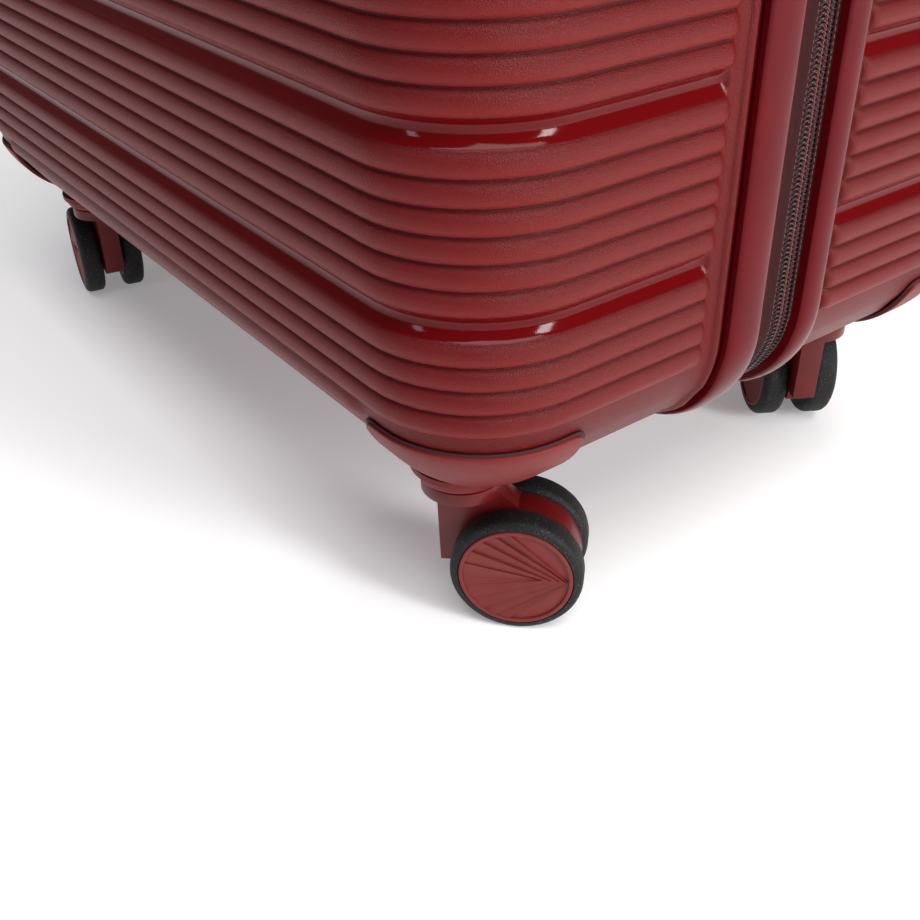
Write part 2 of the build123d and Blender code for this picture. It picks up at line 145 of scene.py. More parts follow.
def new_material(name, colour, roughness, **shader_values):
    """A material whose Principled shader has its plain values set; returns it with its tree and shader."""
    material = bpy.data.materials.new(name)
    material.use_nodes = True
    tree = material.node_tree
    shader = tree.nodes["Principled BSDF"]
    shader.inputs["Base Color"].default_value = linear(colour)
    shader.inputs["Roughness"].default_value = roughness
    for key, value in shader_values.items():
        shader.inputs[key.replace("_", " ")].default_value = value
    return material, tree, shader


def add_light(name, place, aim, size, power, colour="#FFFFFF"):
    """A rectangular soft box that faces a point."""
    light = bpy.data.lights.new(name, "AREA")
    light.shape = "RECTANGLE"
    light.size, light.size_y = size
    light.energy = power
    light.color = linear(colour)[:3]
    lamp = bpy.data.objects.new(name, light)
    scene.collection.objects.link(lamp)
    lamp.location = place
    lamp.rotation_euler = (Vector(aim) - Vector(place)).to_track_quat("-Z", "Y").to_euler()
    return lamp


floor_mesh = bpy.data.meshes.new("floor")
floor_mesh.from_pydata([(-30, -30, 0), (30, -30, 0), (30, 30, 0), (-30, 30, 0)], [], [(0, 1, 2, 3)])
floor = bpy.data.objects.new("floor", floor_mesh)
scene.collection.objects.link(floor)
# matt white laminate, lit from below
floor_paint, floor_tree, floor_shader = new_material("matte_white_floor", "#EDEDED", 0.9,
                                                     Emission_Strength=0.22, Specular_IOR_Level=0.1)
floor_shader.inputs["Emission Color"].default_value = linear("#FFFFFF")
floor_spot = add_node(floor_tree, "ShaderNodeTexCoord").outputs["Object"]
floor_cloud = add_node(floor_tree, "ShaderNodeTexNoise", {"Vector": floor_spot, "Scale": 0.8})
floor_tone = add_node(floor_tree, "ShaderNodeMix", {0: floor_cloud.outputs["Fac"], 6: linear("#EBEBEB"),
                                                    7: linear("#EFEFEF")}, data_type="RGBA")
floor_tree.links.new(floor_tone.outputs[2], floor_shader.inputs["Base Color"])
floor_mesh.materials.append(floor_paint)
floor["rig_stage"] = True

world = bpy.data.worlds.new("studio")
world.use_nodes = True
world.node_tree.nodes["Background"].inputs["Color"].default_value = linear("#F4F5F7")
camera_ray = add_node(world.node_tree, "ShaderNodeLightPath").outputs["Is Camera Ray"]
sky = add_node(world.node_tree, "ShaderNodeMath", {0: camera_ray, 1: 0.7, 2: 0.12}, operation="MULTIPLY_ADD")
world.node_tree.links.new(sky.outputs[0], world.node_tree.nodes["Background"].inputs["Strength"])
scene.world = world
scene.view_settings.view_transform = "Standard"
add_light("side_box", (2.1, 0.5, 0.8), (0.2, 0, 0.1), (0.4, 1.2), 42)
add_light("front_box", (0.1, -2.2, 0.7), (0, 0, 0.25), (0.3, 0.9), 7, "#E4DEFF")
add_light("top_box", (1.3, -0.3, 3.4), (0.5, -0.2, 0), (3.0, 3.0), 160)

# ---- Ribbed shells ----------------------------------------------------------------------
# Two injection-moulded polypropylene halves. Horizontal ribs wrap the upright corners and
# stop in rounded ends before a smooth margin; every seventh rib gives way to a glossy groove.
half_width = shell_high[0] / MM
face_y = -shell_low[1] / MM
bottom_z, top_z = shell_low[2] / MM, shell_high[2] / MM
mid_z = (bottom_z + top_z) / 2
round_radius = 48
inner_x = half_width - round_radius
base_sink = 1.5
rib_pitch, rib_height, groove_depth, rib_group = 9.0, 2.7, 2.2, 7
groove_low = mid_z - rib_pitch / 2
ribs_low = groove_low - 32 * rib_pitch
bead_y = {-1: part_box("front_edge_trim")[1][1] / MM, 1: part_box("rear_edge_trim")[0][1] / MM}
bead_far_y = {-1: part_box("front_edge_trim")[0][1] / MM, 1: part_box("rear_edge_trim")[1][1] / MM}
rib_end_gap = {-1: 12.8, 1: 5.2}
rib_skew = 0.76
rib_end_radius = 4.0
lip_gap, lip_width, lip_height = 1.2, 4.8, 1.9
shell_wall = 2.2


def mesh_object(name, points, faces, material=None, edges=()):
    """A mesh at the origin from points in millimetres."""
    mesh = bpy.data.meshes.new(name)
    mesh.from_pydata([(x * MM, y * MM, z * MM) for x, y, z in points], edges, faces)
    mesh.polygons.foreach_set("use_smooth", [True] * len(mesh.polygons))
    piece = bpy.data.objects.new(name, mesh)
    scene.collection.objects.link(piece)
    if material:
        mesh.materials.append(material)
    return piece


def tidy_mesh(piece, merge=0.00001):
    """Merges doubled points and turns the faces outwards."""
    work = bmesh.new()
    work.from_mesh(piece.data)
    bmesh.ops.remove_doubles(work, verts=work.verts, dist=merge)
    bmesh.ops.recalc_face_normals(work, faces=work.faces)
    work.to_mesh(piece.data)
    work.free()


def bake_modifiers(piece):
    """Replaces a piece's mesh by what its modifiers make of it."""
    shape = piece.evaluated_get(bpy.context.evaluated_depsgraph_get())
    result = bpy.data.meshes.new_from_object(shape)
    piece.modifiers.clear()
    piece.data = result


def past_bead(y):
    """Distance from a half's edge bead to a place on its side wall."""
    return bead_far_y[-1] - y if y < 0 else y - bead_far_y[1]


def wall_columns(side, side_ys, corner_steps, face_xs):
    """The upright columns of a half's wall, from the +X seam round to the -X seam.

    Each is the point that its rounding turns about and the way that it faces.
    """
    inner_y = face_y - round_radius
    columns = [(inner_x, y, 1.0, 0.0) for y in side_ys]
    for step in range(1, corner_steps):
        angle = pi / 2 * step / corner_steps
        columns.append((inner_x, side * inner_y, cos(angle), side * sin(angle)))
    columns += [(x, side * inner_y, 0.0, side) for x in face_xs]
    for step in range(1, corner_steps):
        angle = pi / 2 * step / corner_steps
        columns.append((-inner_x, side * inner_y, -sin(angle), side * cos(angle)))
    columns += [(-inner_x, y, -1.0, 0.0) for y in reversed(side_ys)]
    return columns


def wall_rows(tilts, levels):
    """Rows of the wall from bottom to top: a level, and how far the wall has rolled under or over."""
    low, high = bottom_z + round_radius, top_z - round_radius
    rows = [(low, -tilt) for tilt in sorted(tilts, reverse=True)]
    rows += [(z, 0.0) for z in levels if low < z < high]
    rows += [(high, tilt) for tilt in sorted(tilts)]
    return rows


def skin_point(column, row, proud=0.0):
    """The point on the rounded case for a column and a row, `proud` millimetres off the skin."""
    x, y, way_x, way_y = column
    z, tilt = row
    reach = (round_radius + proud) * cos(tilt)
    return (x + way_x * reach, y + way_y * reach, z + (round_radius + proud) * sin(tilt))


def lip_rise(y):
    """Height of the rolled lip at the front shell's edge."""
    along = (past_bead(y) - lip_gap) / lip_width if y < 0 else 0.0
    return lip_height * sin(pi * along) if 0 < along < 1 else 0.0


def rib_share(column, z):
    """How much of the rib's height stands here: ribs end in a round nose at the margin."""
    x, y, way_x, _ = column
    place = (z - ribs_low) / rib_pitch
    across = 2 * (place % 1) ** rib_skew - 1
    nose = sqrt(max(0.0, 1 - across * across))
    low, high = 2 * mid_z - 702.5, 702.5
    if abs(way_x) == 1.0:
        inside = past_bead(y) - rib_end_gap[-1 if y < 0 else 1] + 1.6 * nose
    else:
        inside = rib_end_radius
    if z < low or z > high:
        if way_x != 0.0 or z < low - rib_pitch or z > high + rib_pitch:
            return 0.0
        inside = half_width - 64 + 1.6 * nose - abs(x)
    inside = min(max(inside, 0.0), rib_end_radius) / rib_end_radius
    return sqrt(1 - (1 - inside) ** 2)


def rib_levels():
    """Levels of the mesh rows: eight to each rib, with one on every valley."""
    shares = (0.0, 0.07, 0.2, 0.38, 0.62, 0.8, 0.93)
    count = int((mid_z - bottom_z) / rib_pitch)
    return [groove_low + (cell + share) * rib_pitch for cell in range(-count, count + 1) for share in shares]


def half_mesh(name, side, side_ys, face_xs, holes):
    """One half's outer skin, open at the seam, with its rib mask as an attribute."""
    columns = wall_columns(side, side_ys, 10, face_xs)
    low = bottom_z + round_radius
    level_tilts = [asin((low - z) / round_radius) for z in rib_levels() if bottom_z + 26 < z < low]
    tilts = sorted(set([0.0, pi / 2] + [radians(t) for t in (44, 51.3, 60, 70, 80)] + level_tilts))
    rows = wall_rows(tilts, rib_levels())
    points, masks, faces = [], [], []
    for column in columns:
        for row in rows:
            rise = lip_rise(column[1]) if abs(column[2]) == 1.0 else 0.0
            point = skin_point(column, row, rise - base_sink)
            points.append(point)
            masks.append(rib_share(column, point[2]))
    for i in range(len(columns) - 1):
        for j in range(len(rows) - 1):
            a = i * len(rows) + j
            faces.append((a, a + len(rows), a + len(rows) + 1, a + 1))
    xs = [inner_x] + list(face_xs[1:-1]) + [-inner_x]
    ys = list(side_ys)
    for flat_z, sign in ((bottom_z, -1), (top_z, 1)):
        start = len(points)
        for x in xs:
            for y in ys:
                points.append((x, y, flat_z + sign * (lip_rise(y) - base_sink)))
                masks.append(0.0)
        for i in range(len(xs) - 1):
            for j in range(len(ys) - 1):
                a = start + i * len(ys) + j
                faces.append((a, a + 1, a + len(ys) + 1, a + len(ys)))
    kept = []
    for face in faces:
        middle = [sum(points[k][axis] for k in face) / 4 for axis in range(3)]
        if not any(all(low_end < value < high_end for value, (low_end, high_end) in zip(middle, hole))
                   for hole in holes):
            kept.append(face)
    piece = mesh_object(name, points, kept)
    piece.data.attributes.new("rib_mask", "FLOAT", "POINT").data.foreach_set("value", masks)
    tidy_mesh(piece)
    return piece


def tree_input(tree, name, kind, value):
    """A named input on a geometry tree."""
    socket = tree.interface.new_socket(name, in_out="INPUT", socket_type=kind)
    if value is not None:
        socket.default_value = value
    return socket


def new_geometry_tree(name):
    """An empty geometry tree with a geometry socket each way, and its two end nodes."""
    tree = bpy.data.node_groups.new(name, "GeometryNodeTree")
    tree.interface.new_socket("Geometry", in_out="INPUT", socket_type="NodeSocketGeometry")
    tree.interface.new_socket("Geometry", in_out="OUTPUT", socket_type="NodeSocketGeometry")
    return tree, add_node(tree, "NodeGroupInput"), add_node(tree, "NodeGroupOutput")


def run_tree(piece, tree, **values):
    """Puts the tree on the piece with its inputs set by name, and keeps the plain result."""
    modifier = piece.modifiers.new(tree.name, "NODES")
    modifier.node_group = tree
    for item in tree.interface.items_tree:
        key = item.name.lower().replace(" ", "_")
        if item.in_out == "INPUT" and key in values:
            modifier[item.identifier] = values[key]
    bake_modifiers(piece)


def rib_tree():
    """Raises the ribs and sinks the grooves along the skin's normals, by each point's height."""
    tree, given, result = new_geometry_tree("moulded_ribs")
    for name, value in (("Pitch", 0.009), ("Rib height", 0.002), ("Groove depth", 0.002),
                        ("First groove", 0.0),
                        ("Skew", 0.8)):
        tree_input(tree, name, "NodeSocketFloat", value)
    tree_input(tree, "Group", "NodeSocketInt", 7)
    tree_input(tree, "Material", "NodeSocketMaterial", None)
    position = add_node(tree, "GeometryNodeInputPosition").outputs[0]
    spot = add_node(tree, "ShaderNodeSeparateXYZ", {"Vector": position})
    rise = add_node(tree, "ShaderNodeMath", {0: spot.outputs["Z"], 1: given.outputs["First groove"]},
                    operation="SUBTRACT")
    cells = add_node(tree, "ShaderNodeMath", {0: rise.outputs[0], 1: given.outputs["Pitch"]},
                     operation="DIVIDE")
    place = add_node(tree, "ShaderNodeMath", {0: cells.outputs[0], 1: 0.0005}, operation="ADD")
    share = add_node(tree, "ShaderNodeMath", {0: place.outputs[0]}, operation="FRACT")
    skewed = add_node(tree, "ShaderNodeMath", {0: share.outputs[0], 1: given.outputs["Skew"]},
                      operation="POWER")
    centred = add_node(tree, "ShaderNodeMath", {0: skewed.outputs[0], 1: 2.0, 2: -1.0},
                       operation="MULTIPLY_ADD")
    across = add_node(tree, "ShaderNodeMath", {0: centred.outputs[0]}, operation="ABSOLUTE")
    steep = add_node(tree, "ShaderNodeMath", {0: across.outputs[0], 1: 2.3}, operation="POWER")
    fall = add_node(tree, "ShaderNodeMath", {0: 1.0, 1: steep.outputs[0]}, operation="SUBTRACT")
    crown = add_node(tree, "ShaderNodeMath", {0: fall.outputs[0], 1: 0.62}, operation="POWER")
    ridge = add_node(tree, "ShaderNodeMath", {0: crown.outputs[0], 1: given.outputs["Rib height"]},
                     operation="MULTIPLY")
    half_turn = add_node(tree, "ShaderNodeMath", {0: share.outputs[0], 1: pi}, operation="MULTIPLY")
    bowl = add_node(tree, "ShaderNodeMath", {0: half_turn.outputs[0]}, operation="SINE")
    sunk = add_node(tree, "ShaderNodeMath", {0: bowl.outputs[0], 1: given.outputs["Groove depth"]},
                    operation="MULTIPLY")
    groove = add_node(tree, "ShaderNodeMath", {0: sunk.outputs[0], 1: -1.0}, operation="MULTIPLY")
    cell = add_node(tree, "ShaderNodeMath", {0: place.outputs[0]}, operation="FLOOR")
    turn = add_node(tree, "ShaderNodeMath", {0: cell.outputs[0], 1: given.outputs["Group"]},
                    operation="FLOORED_MODULO")
    is_groove = add_node(tree, "ShaderNodeMath", {0: turn.outputs[0], 1: 0.5}, operation="LESS_THAN")
    shape = add_node(tree, "ShaderNodeMix", {0: is_groove.outputs[0], 2: ridge.outputs[0],
                                             3: groove.outputs[0]},
                     data_type="FLOAT")
    mask = add_node(tree, "GeometryNodeInputNamedAttribute", {"Name": "rib_mask"}, data_type="FLOAT")
    height = add_node(tree, "ShaderNodeMath", {0: shape.outputs[0], 1: mask.outputs["Attribute"]},
                      operation="MULTIPLY")
    push = add_node(tree, "ShaderNodeVectorMath", operation="SCALE",
                    inputs={0: add_node(tree, "GeometryNodeInputNormal").outputs[0],
                            "Scale": height.outputs[0]})
    gloss = add_node(tree, "ShaderNodeMath", {0: is_groove.outputs[0], 1: mask.outputs["Attribute"]},
                     operation="MULTIPLY")
    on_rib = add_node(tree, "ShaderNodeMath", {0: mask.outputs["Attribute"], 1: gloss.outputs[0]},
                      operation="SUBTRACT")
    # masks for painted colour: painted shade in the valley of each rib, painted light on its lower part
    hollow = add_node(tree, "ShaderNodeMath", {0: 1.0, 1: crown.outputs[0]}, operation="SUBTRACT")
    valley_shade_mask = add_node(tree, "ShaderNodeMath", {0: hollow.outputs[0], 1: on_rib.outputs[0]},
                      operation="MULTIPLY")
    above = add_node(tree, "ShaderNodeMath", {0: 1.0, 1: share.outputs[0]}, operation="SUBTRACT")
    underside_light_mask = add_node(tree, "ShaderNodeMath", {0: above.outputs[0], 1: on_rib.outputs[0]},
                     operation="MULTIPLY")
    kept = given.outputs["Geometry"]
    for label, value in (("groove_gloss", gloss), ("rib_valley", valley_shade_mask), ("rib_underside", underside_light_mask)):
        stored = add_node(tree, "GeometryNodeStoreNamedAttribute", data_type="FLOAT", domain="POINT",
                          inputs={"Geometry": kept, "Name": label, "Value": value.outputs[0]})
        kept = stored.outputs[0]
    moved = add_node(tree, "GeometryNodeSetPosition", {"Geometry": kept, "Offset": push.outputs[0]})
    solid = add_node(tree, "GeometryNodeRealizeInstances", {"Geometry": moved.outputs[0]})
    finish = add_node(tree, "GeometryNodeSetMaterial",
                      {"Geometry": solid.outputs[0], "Material": given.outputs["Material"]})
    tree.links.new(finish.outputs[0], result.inputs[0])
    return tree


def thicken(piece, thickness, offset=-1, bevel=0.0):
    """Gives a skin its wall, inwards for offset -1."""
    wall = piece.modifiers.new("wall", "SOLIDIFY")
    wall.thickness = thickness * MM
    wall.offset = offset
    wall.use_even_offset = False
    if bevel:
        edge = piece.modifiers.new("edge", "BEVEL")
        edge.width = bevel * MM
        edge.segments = 2
        edge.limit_method = "ANGLE"
        edge.angle_limit = radians(50)
    bake_modifiers(piece)


# injection-moulded polypropylene with a spark-eroded grain of about 0.5 mm: the grain scatters
# the light to a soft sheen, and the polished grooves mirror the lamps; the valleys of the ribs
# carry painted shade and their lower parts painted light
shell_plastic, tree, shader = new_material("grained_burgundy_polypropylene", "#5E1719", 0.42, IOR=1.49,
                                           Specular_IOR_Level=0.17)
coords = add_node(tree, "ShaderNodeTexCoord").outputs["Object"]
gloss = add_node(tree, "ShaderNodeAttribute", attribute_name="groove_gloss").outputs["Fac"]
grain = add_node(tree, "ShaderNodeTexNoise", {"Vector": coords, "Scale": 3000.0, "Detail": 2.0})
cells = add_node(tree, "ShaderNodeTexVoronoi", {"Vector": coords, "Scale": 2300.0})
grain_sum = add_node(tree, "ShaderNodeMath", {0: grain.outputs["Fac"], 1: cells.outputs["Distance"]},
                     operation="ADD")
grain_depth = add_node(tree, "ShaderNodeMath", {0: gloss, 1: -0.6, 2: 0.62}, operation="MULTIPLY_ADD")
bump = add_node(tree, "ShaderNodeBump", {"Height": grain_sum.outputs[0], "Distance": 0.00025,
                                         "Strength": grain_depth.outputs[0]})
tree.links.new(bump.outputs[0], shader.inputs["Normal"])
drift = add_node(tree, "ShaderNodeTexNoise", {"Vector": coords, "Scale": 9.0, "Detail": 3.0})
tones = add_node(tree, "ShaderNodeMix", {0: drift.outputs["Fac"], 6: linear("#530A0A"), 7: linear("#610E0E")},
                 data_type="RGBA")
# painted light: the lower part of each rib is made lighter, standing in for light thrown up from the floor
underside_light_mask = add_node(tree, "ShaderNodeAttribute", attribute_name="rib_underside").outputs["Fac"]
rub_wear_and_painted_light = add_node(tree, "ShaderNodeMapRange", {"Value": underside_light_mask, "From Min": 0.35, "From Max": 0.95,
                                               "To Max": 0.6})
painted_underside_light_tone = add_node(tree, "ShaderNodeMix", {0: rub_wear_and_painted_light.outputs[0], 6: tones.outputs[2], 7: linear("#7E201C")},
                data_type="RGBA")
# painted shade: the valley of each rib is made darker, standing in for the shade between ribs
valley_shade_mask = add_node(tree, "ShaderNodeAttribute", attribute_name="rib_valley").outputs["Fac"]
painted_valley_shade = add_node(tree, "ShaderNodeMapRange", {"Value": valley_shade_mask, "From Min": 0.35, "From Max": 1.0,
                                              "To Max": 0.85})
dust_and_painted_shade_tone = add_node(tree, "ShaderNodeMix", {0: painted_valley_shade.outputs[0], 6: painted_underside_light_tone.outputs[2], 7: linear("#2A0607")},
                 data_type="RGBA")
polished = add_node(tree, "ShaderNodeMix", {0: gloss, 6: dust_and_painted_shade_tone.outputs[2], 7: linear("#5A0407")},
                    data_type="RGBA")
tree.links.new(polished.outputs[2], shader.inputs["Base Color"])
smoothness = add_node(tree, "ShaderNodeMath", {0: gloss, 1: -0.27, 2: 0.36}, operation="MULTIPLY_ADD")
tree.links.new(smoothness.outputs[0], shader.inputs["Roughness"])

ribs = rib_tree()
shell_face_xs = [inner_x, 187, 183, 180, 176, 150, 101, 74, 35, 0]
shell_face_xs += [-x for x in reversed(shell_face_xs[:-1])]
front_gaps = (-6.0, 0.2, 1.2, 2.2, 3.3, 4.4, 5.5, 6.1, 9.0, 11.0, 11.6, 12.2, 13.0, 14.0, 15.2, 16.6)
rear_gaps = (-6.0, 0.4, 2.0, 3.4, 4.0, 4.6, 5.4, 6.4, 7.6, 9.0)
front_ys = [bead_far_y[-1] - gap for gap in front_gaps] + [-55, -68.8, -80, -95, -face_y + round_radius]
rear_ys = [bead_far_y[1] + gap for gap in rear_gaps] + [37.6, 50, 62, 74, 86.4, 95, face_y - round_radius]
lock_hole = (-68.8, bead_far_y[-1] - 6.1, mid_z - 39.5, mid_z + 39.5)
lock_box = ((200, 300), lock_hole[:2], lock_hole[2:])
side_bowl_box = ((200, 300), (37.6, 86.4), (mid_z - 71.5, mid_z + 71.5))
top_bowl_box = ((-74, 74), (37.6, 86.4), (700, 800))
tray_box = ((-101, 101), (95, 137), (700, 800))
for name, side, ys, holes in (("front_shell", -1, front_ys, [lock_box]),
                              ("rear_shell", 1, rear_ys, [side_bowl_box, top_bowl_box, tray_box])):
    skin = half_mesh(name + "_ribbed", side, ys, shell_face_xs, holes)
    run_tree(skin, ribs, pitch=rib_pitch * MM, rib_height=rib_height * MM, groove_depth=groove_depth * MM,
             first_groove=(groove_low - 28 * rib_pitch) * MM, group=rib_group, skew=rib_skew,
             material=shell_plastic)
    thicken(skin, shell_wall)
    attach(skin, "front_lid" if side < 0 else "rear_case")
    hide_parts(name)

# ---- Edge beads -------------------------------------------------------------------------
# A polished extruded PVC bead grips each shell's edge all round and hides the sewing of the
# tape. It is a U in section, with a broad crowned outside.
outline_half_rise = mid_z - bottom_z - round_radius
outline_length = 4 * outline_half_rise + 4 * inner_x + 2 * pi * round_radius


def outline_path(grow, first=0.0, last=outline_length, arc_steps=14, straight_step=60.0):
    """Points round the case's outline from the middle of the hinge side, going down first.

    Each point holds x, z, the outward direction and the distance run.
    """
    low, high = bottom_z + round_radius, top_z - round_radius
    legs = [((-half_width, mid_z), (0, -1), outline_half_rise), ((-inner_x, low), 180, None),
            ((-inner_x, bottom_z), (1, 0), 2 * inner_x), ((inner_x, low), 270, None),
            ((half_width, low), (0, 1), 2 * outline_half_rise), ((inner_x, high), 0, None),
            ((inner_x, top_z), (-1, 0), 2 * inner_x), ((-inner_x, high), 90, None),
            ((-half_width, high), (0, -1), outline_half_rise)]
    points, run = [], 0.0
    for spot, way, length in legs:
        if length is None:
            length = pi / 2 * round_radius
            for step in range(arc_steps + 1):
                share = step / arc_steps
                angle = radians(way + 90 * share)
                out_x, out_z = cos(angle), sin(angle)
                reach = round_radius + grow
                points.append((spot[0] + out_x * reach, spot[1] + out_z * reach, out_x, out_z,
                               run + share * length))
        else:
            out_x, out_z = way[1], -way[0]
            start, end = max(first - run, 0.0), min(last - run, length)
            steps = ceil((end - start) / straight_step) if end > start else 0
            for step in range(steps + 1 if steps else 0):
                along = min(start + step * straight_step, end)
                points.append((spot[0] + way[0] * along + out_x * grow,
                               spot[1] + way[1] * along + out_z * grow,
                               out_x, out_z, run + along))
        run += length
    chosen = []
    for point in points:
        if first - 0.001 <= point[4] <= last + 0.001 and not (chosen and point[4] - chosen[-1][4] < 0.001):
            chosen.append(point)
    return chosen


def sweep_section(name, path, section, material, closed=False):
    """Carries a closed section (y, height off the path) along the path, with a UV map in metres."""
    ring = section + section[:1]
    across = [0.0]
    for before, after in zip(ring, ring[1:]):
        across.append(across[-1] + hypot(after[0] - before[0], after[1] - before[1]))
    points = [(x + out_x * height, y, z + out_z * height)
              for x, z, out_x, out_z, _ in path for y, height in section]
    faces, uvs, count = [], [], len(section)
    rings = len(path) if closed else len(path) - 1
    for i in range(rings):
        j = (i + 1) % len(path)
        ahead = path[j][4] if j else outline_length
        for k in range(count):
            m = (k + 1) % count
            faces.append((i * count + k, i * count + m, j * count + m, j * count + k))
            uvs += [(path[i][4], across[k]), (path[i][4], across[k + 1]), (ahead, across[k + 1]),
                    (ahead, across[k])]
    if not closed:
        faces.append(tuple(range(count)))
        faces.append(tuple(range(rings * count, (rings + 1) * count))[::-1])
        uvs += [(path[0][4], 0.0)] * count + [(path[-1][4], 0.0)] * count
    piece = mesh_object(name, points, faces, material)
    layer = piece.data.uv_layers.new(name="along").data
    for loop, uv in zip(layer, uvs):
        loop.uv = (uv[0] * MM, uv[1] * MM)
    tidy_mesh(piece, 0.000002)
    piece.data.set_sharp_from_angle(angle=radians(40))
    return piece


# polished PVC: a clear wet gloss with the faint waviness of an extrusion
bead_plastic, tree, shader = new_material("polished_red_pvc_bead", "#7A0B12", 0.17, IOR=1.5,
                                          Specular_IOR_Level=0.12)
coords = add_node(tree, "ShaderNodeTexCoord").outputs["Object"]
waves = add_node(tree, "ShaderNodeTexNoise", {"Vector": coords, "Scale": 45.0, "Detail": 1.0})
bump = add_node(tree, "ShaderNodeBump", {"Height": waves.outputs["Fac"], "Strength": 0.2, "Distance": 0.0006})
tree.links.new(bump.outputs[0], shader.inputs["Normal"])
shade = add_node(tree, "ShaderNodeMix", {0: waves.outputs["Fac"], 6: linear("#4C0309"), 7: linear("#5C050C")},
                 data_type="RGBA")
tree.links.new(shade.outputs[2], shader.inputs["Base Color"])

bead_root, bead_slot = -5.8, 4.6
bead_shoulder, bead_crown = {-1: 1.6, 1: 0.9}, {-1: 3.9, 1: 3.2}
for name, side in (("front", -1), ("rear", 1)):
    seam, bead_width = bead_y[side], abs(bead_far_y[side] - bead_y[side])
    arch = []
    for step in range(17):
        angle = pi * step / 16
        arch.append((bead_width / 2 * (1 - cos(angle)),
                     bead_shoulder[side] + (bead_crown[side] - bead_shoulder[side]) * sin(angle) ** 0.8))
    profile = [(0, bead_root)] + arch + [(bead_width, -0.6), (bead_slot, -0.6), (bead_slot, bead_root)]
    bead = sweep_section(name + "_edge_bead", outline_path(0.0), [(seam + side * y, h) for y, h in profile],
                         bead_plastic, closed=True)
    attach(bead, "front_lid" if side < 0 else "rear_case")
    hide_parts(name + "_edge_trim")

# ---- Zip --------------------------------------------------------------------------------
# Woven herringbone polyester tape on each side carries a nylon coil whose loops are sewn round
# a red core cord. It leaves out the hinge side, where the fabric hinge is sewn in.
hinge_low, hinge_high = (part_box("hinge_gusset")[k][2] / MM for k in (0, 1))
zip_first, zip_last = mid_z - hinge_low, outline_length - (hinge_high - mid_z)
zip_y = (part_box("front_zip_teeth")[1][1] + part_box("rear_zip_teeth")[0][1]) / 2 / MM
tooth_reach = (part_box("rear_zip_teeth")[1][1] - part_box("rear_zip_teeth")[0][1]) / MM
tape_height, tape_base = -2.0, -3.2

# herringbone-woven polyester: matt ribs of thread 0.7 mm apart that change slant every 2.4 mm
tape_cloth, tree, shader = new_material("herringbone_polyester_tape", "#2C090B", 0.85,
                                        Specular_IOR_Level=0.2)
spot = add_node(tree, "ShaderNodeSeparateXYZ", {"Vector": add_node(tree, "ShaderNodeUVMap",
                                                                   uv_map="along").outputs[0]})
slant = add_node(tree, "ShaderNodeMath", {0: spot.outputs["Y"], 1: 0.0024}, operation="PINGPONG")
slope = add_node(tree, "ShaderNodeMath", {0: spot.outputs["X"], 1: slant.outputs[0]}, operation="ADD")
turns = add_node(tree, "ShaderNodeMath", {0: slope.outputs[0], 1: 2 * pi / 0.0009}, operation="MULTIPLY")
thread = add_node(tree, "ShaderNodeMath", {0: turns.outputs[0]}, operation="SINE")
level_share = add_node(tree, "ShaderNodeMath", {0: thread.outputs[0], 1: 0.5, 2: 0.5},
                       operation="MULTIPLY_ADD")
bump = add_node(tree, "ShaderNodeBump", {"Height": level_share.outputs[0], "Strength": 0.9,
                                         "Distance": 0.0003})
tree.links.new(bump.outputs[0], shader.inputs["Normal"])
shade = add_node(tree, "ShaderNodeMix", {0: level_share.outputs[0], 6: linear("#140405"),
                                         7: linear("#43100F")},
                 data_type="RGBA")
tree.links.new(shade.outputs[2], shader.inputs["Base Color"])

# nylon coil: dark, hard and shiny like fishing line
coil_nylon, tree, shader = new_material("black_nylon_coil", "#0D0A0B", 0.34, IOR=1.53,
                                        Specular_IOR_Level=0.3)
coords = add_node(tree, "ShaderNodeTexCoord").outputs["Object"]
mottle = add_node(tree, "ShaderNodeTexNoise", {"Vector": coords, "Scale": 700.0, "Detail": 1.0})
shade = add_node(tree, "ShaderNodeMix", {0: mottle.outputs["Fac"], 6: linear("#0B0606"),
                                         7: linear("#240C0D")},
                 data_type="RGBA")
tree.links.new(shade.outputs[2], shader.inputs["Base Color"])

# twisted polyester cord: two strands laid at 1.1 mm show as slanting bands
core_thread, tree, shader = new_material("twisted_red_core_cord", "#6A0D12", 0.7, Sheen_Weight=0.3)
spot = add_node(tree, "ShaderNodeSeparateXYZ", {"Vector": add_node(tree, "ShaderNodeUVMap",
                                                                   uv_map="along").outputs[0]})
slope = add_node(tree, "ShaderNodeMath", {0: spot.outputs["X"], 1: spot.outputs["Y"]}, operation="ADD")
turns = add_node(tree, "ShaderNodeMath", {0: slope.outputs[0], 1: 2 * pi / 0.0011}, operation="MULTIPLY")
strand = add_node(tree, "ShaderNodeMath", {0: turns.outputs[0]}, operation="SINE")
bump = add_node(tree, "ShaderNodeBump", {"Height": strand.outputs[0], "Strength": 0.8, "Distance": 0.0002})
tree.links.new(bump.outputs[0], shader.inputs["Normal"])
shade = add_node(tree, "ShaderNodeMix", {0: strand.outputs[0], 6: linear("#4A070B"), 7: linear("#8E1419")},
                 data_type="RGBA")
tree.links.new(shade.outputs[2], shader.inputs["Base Color"])


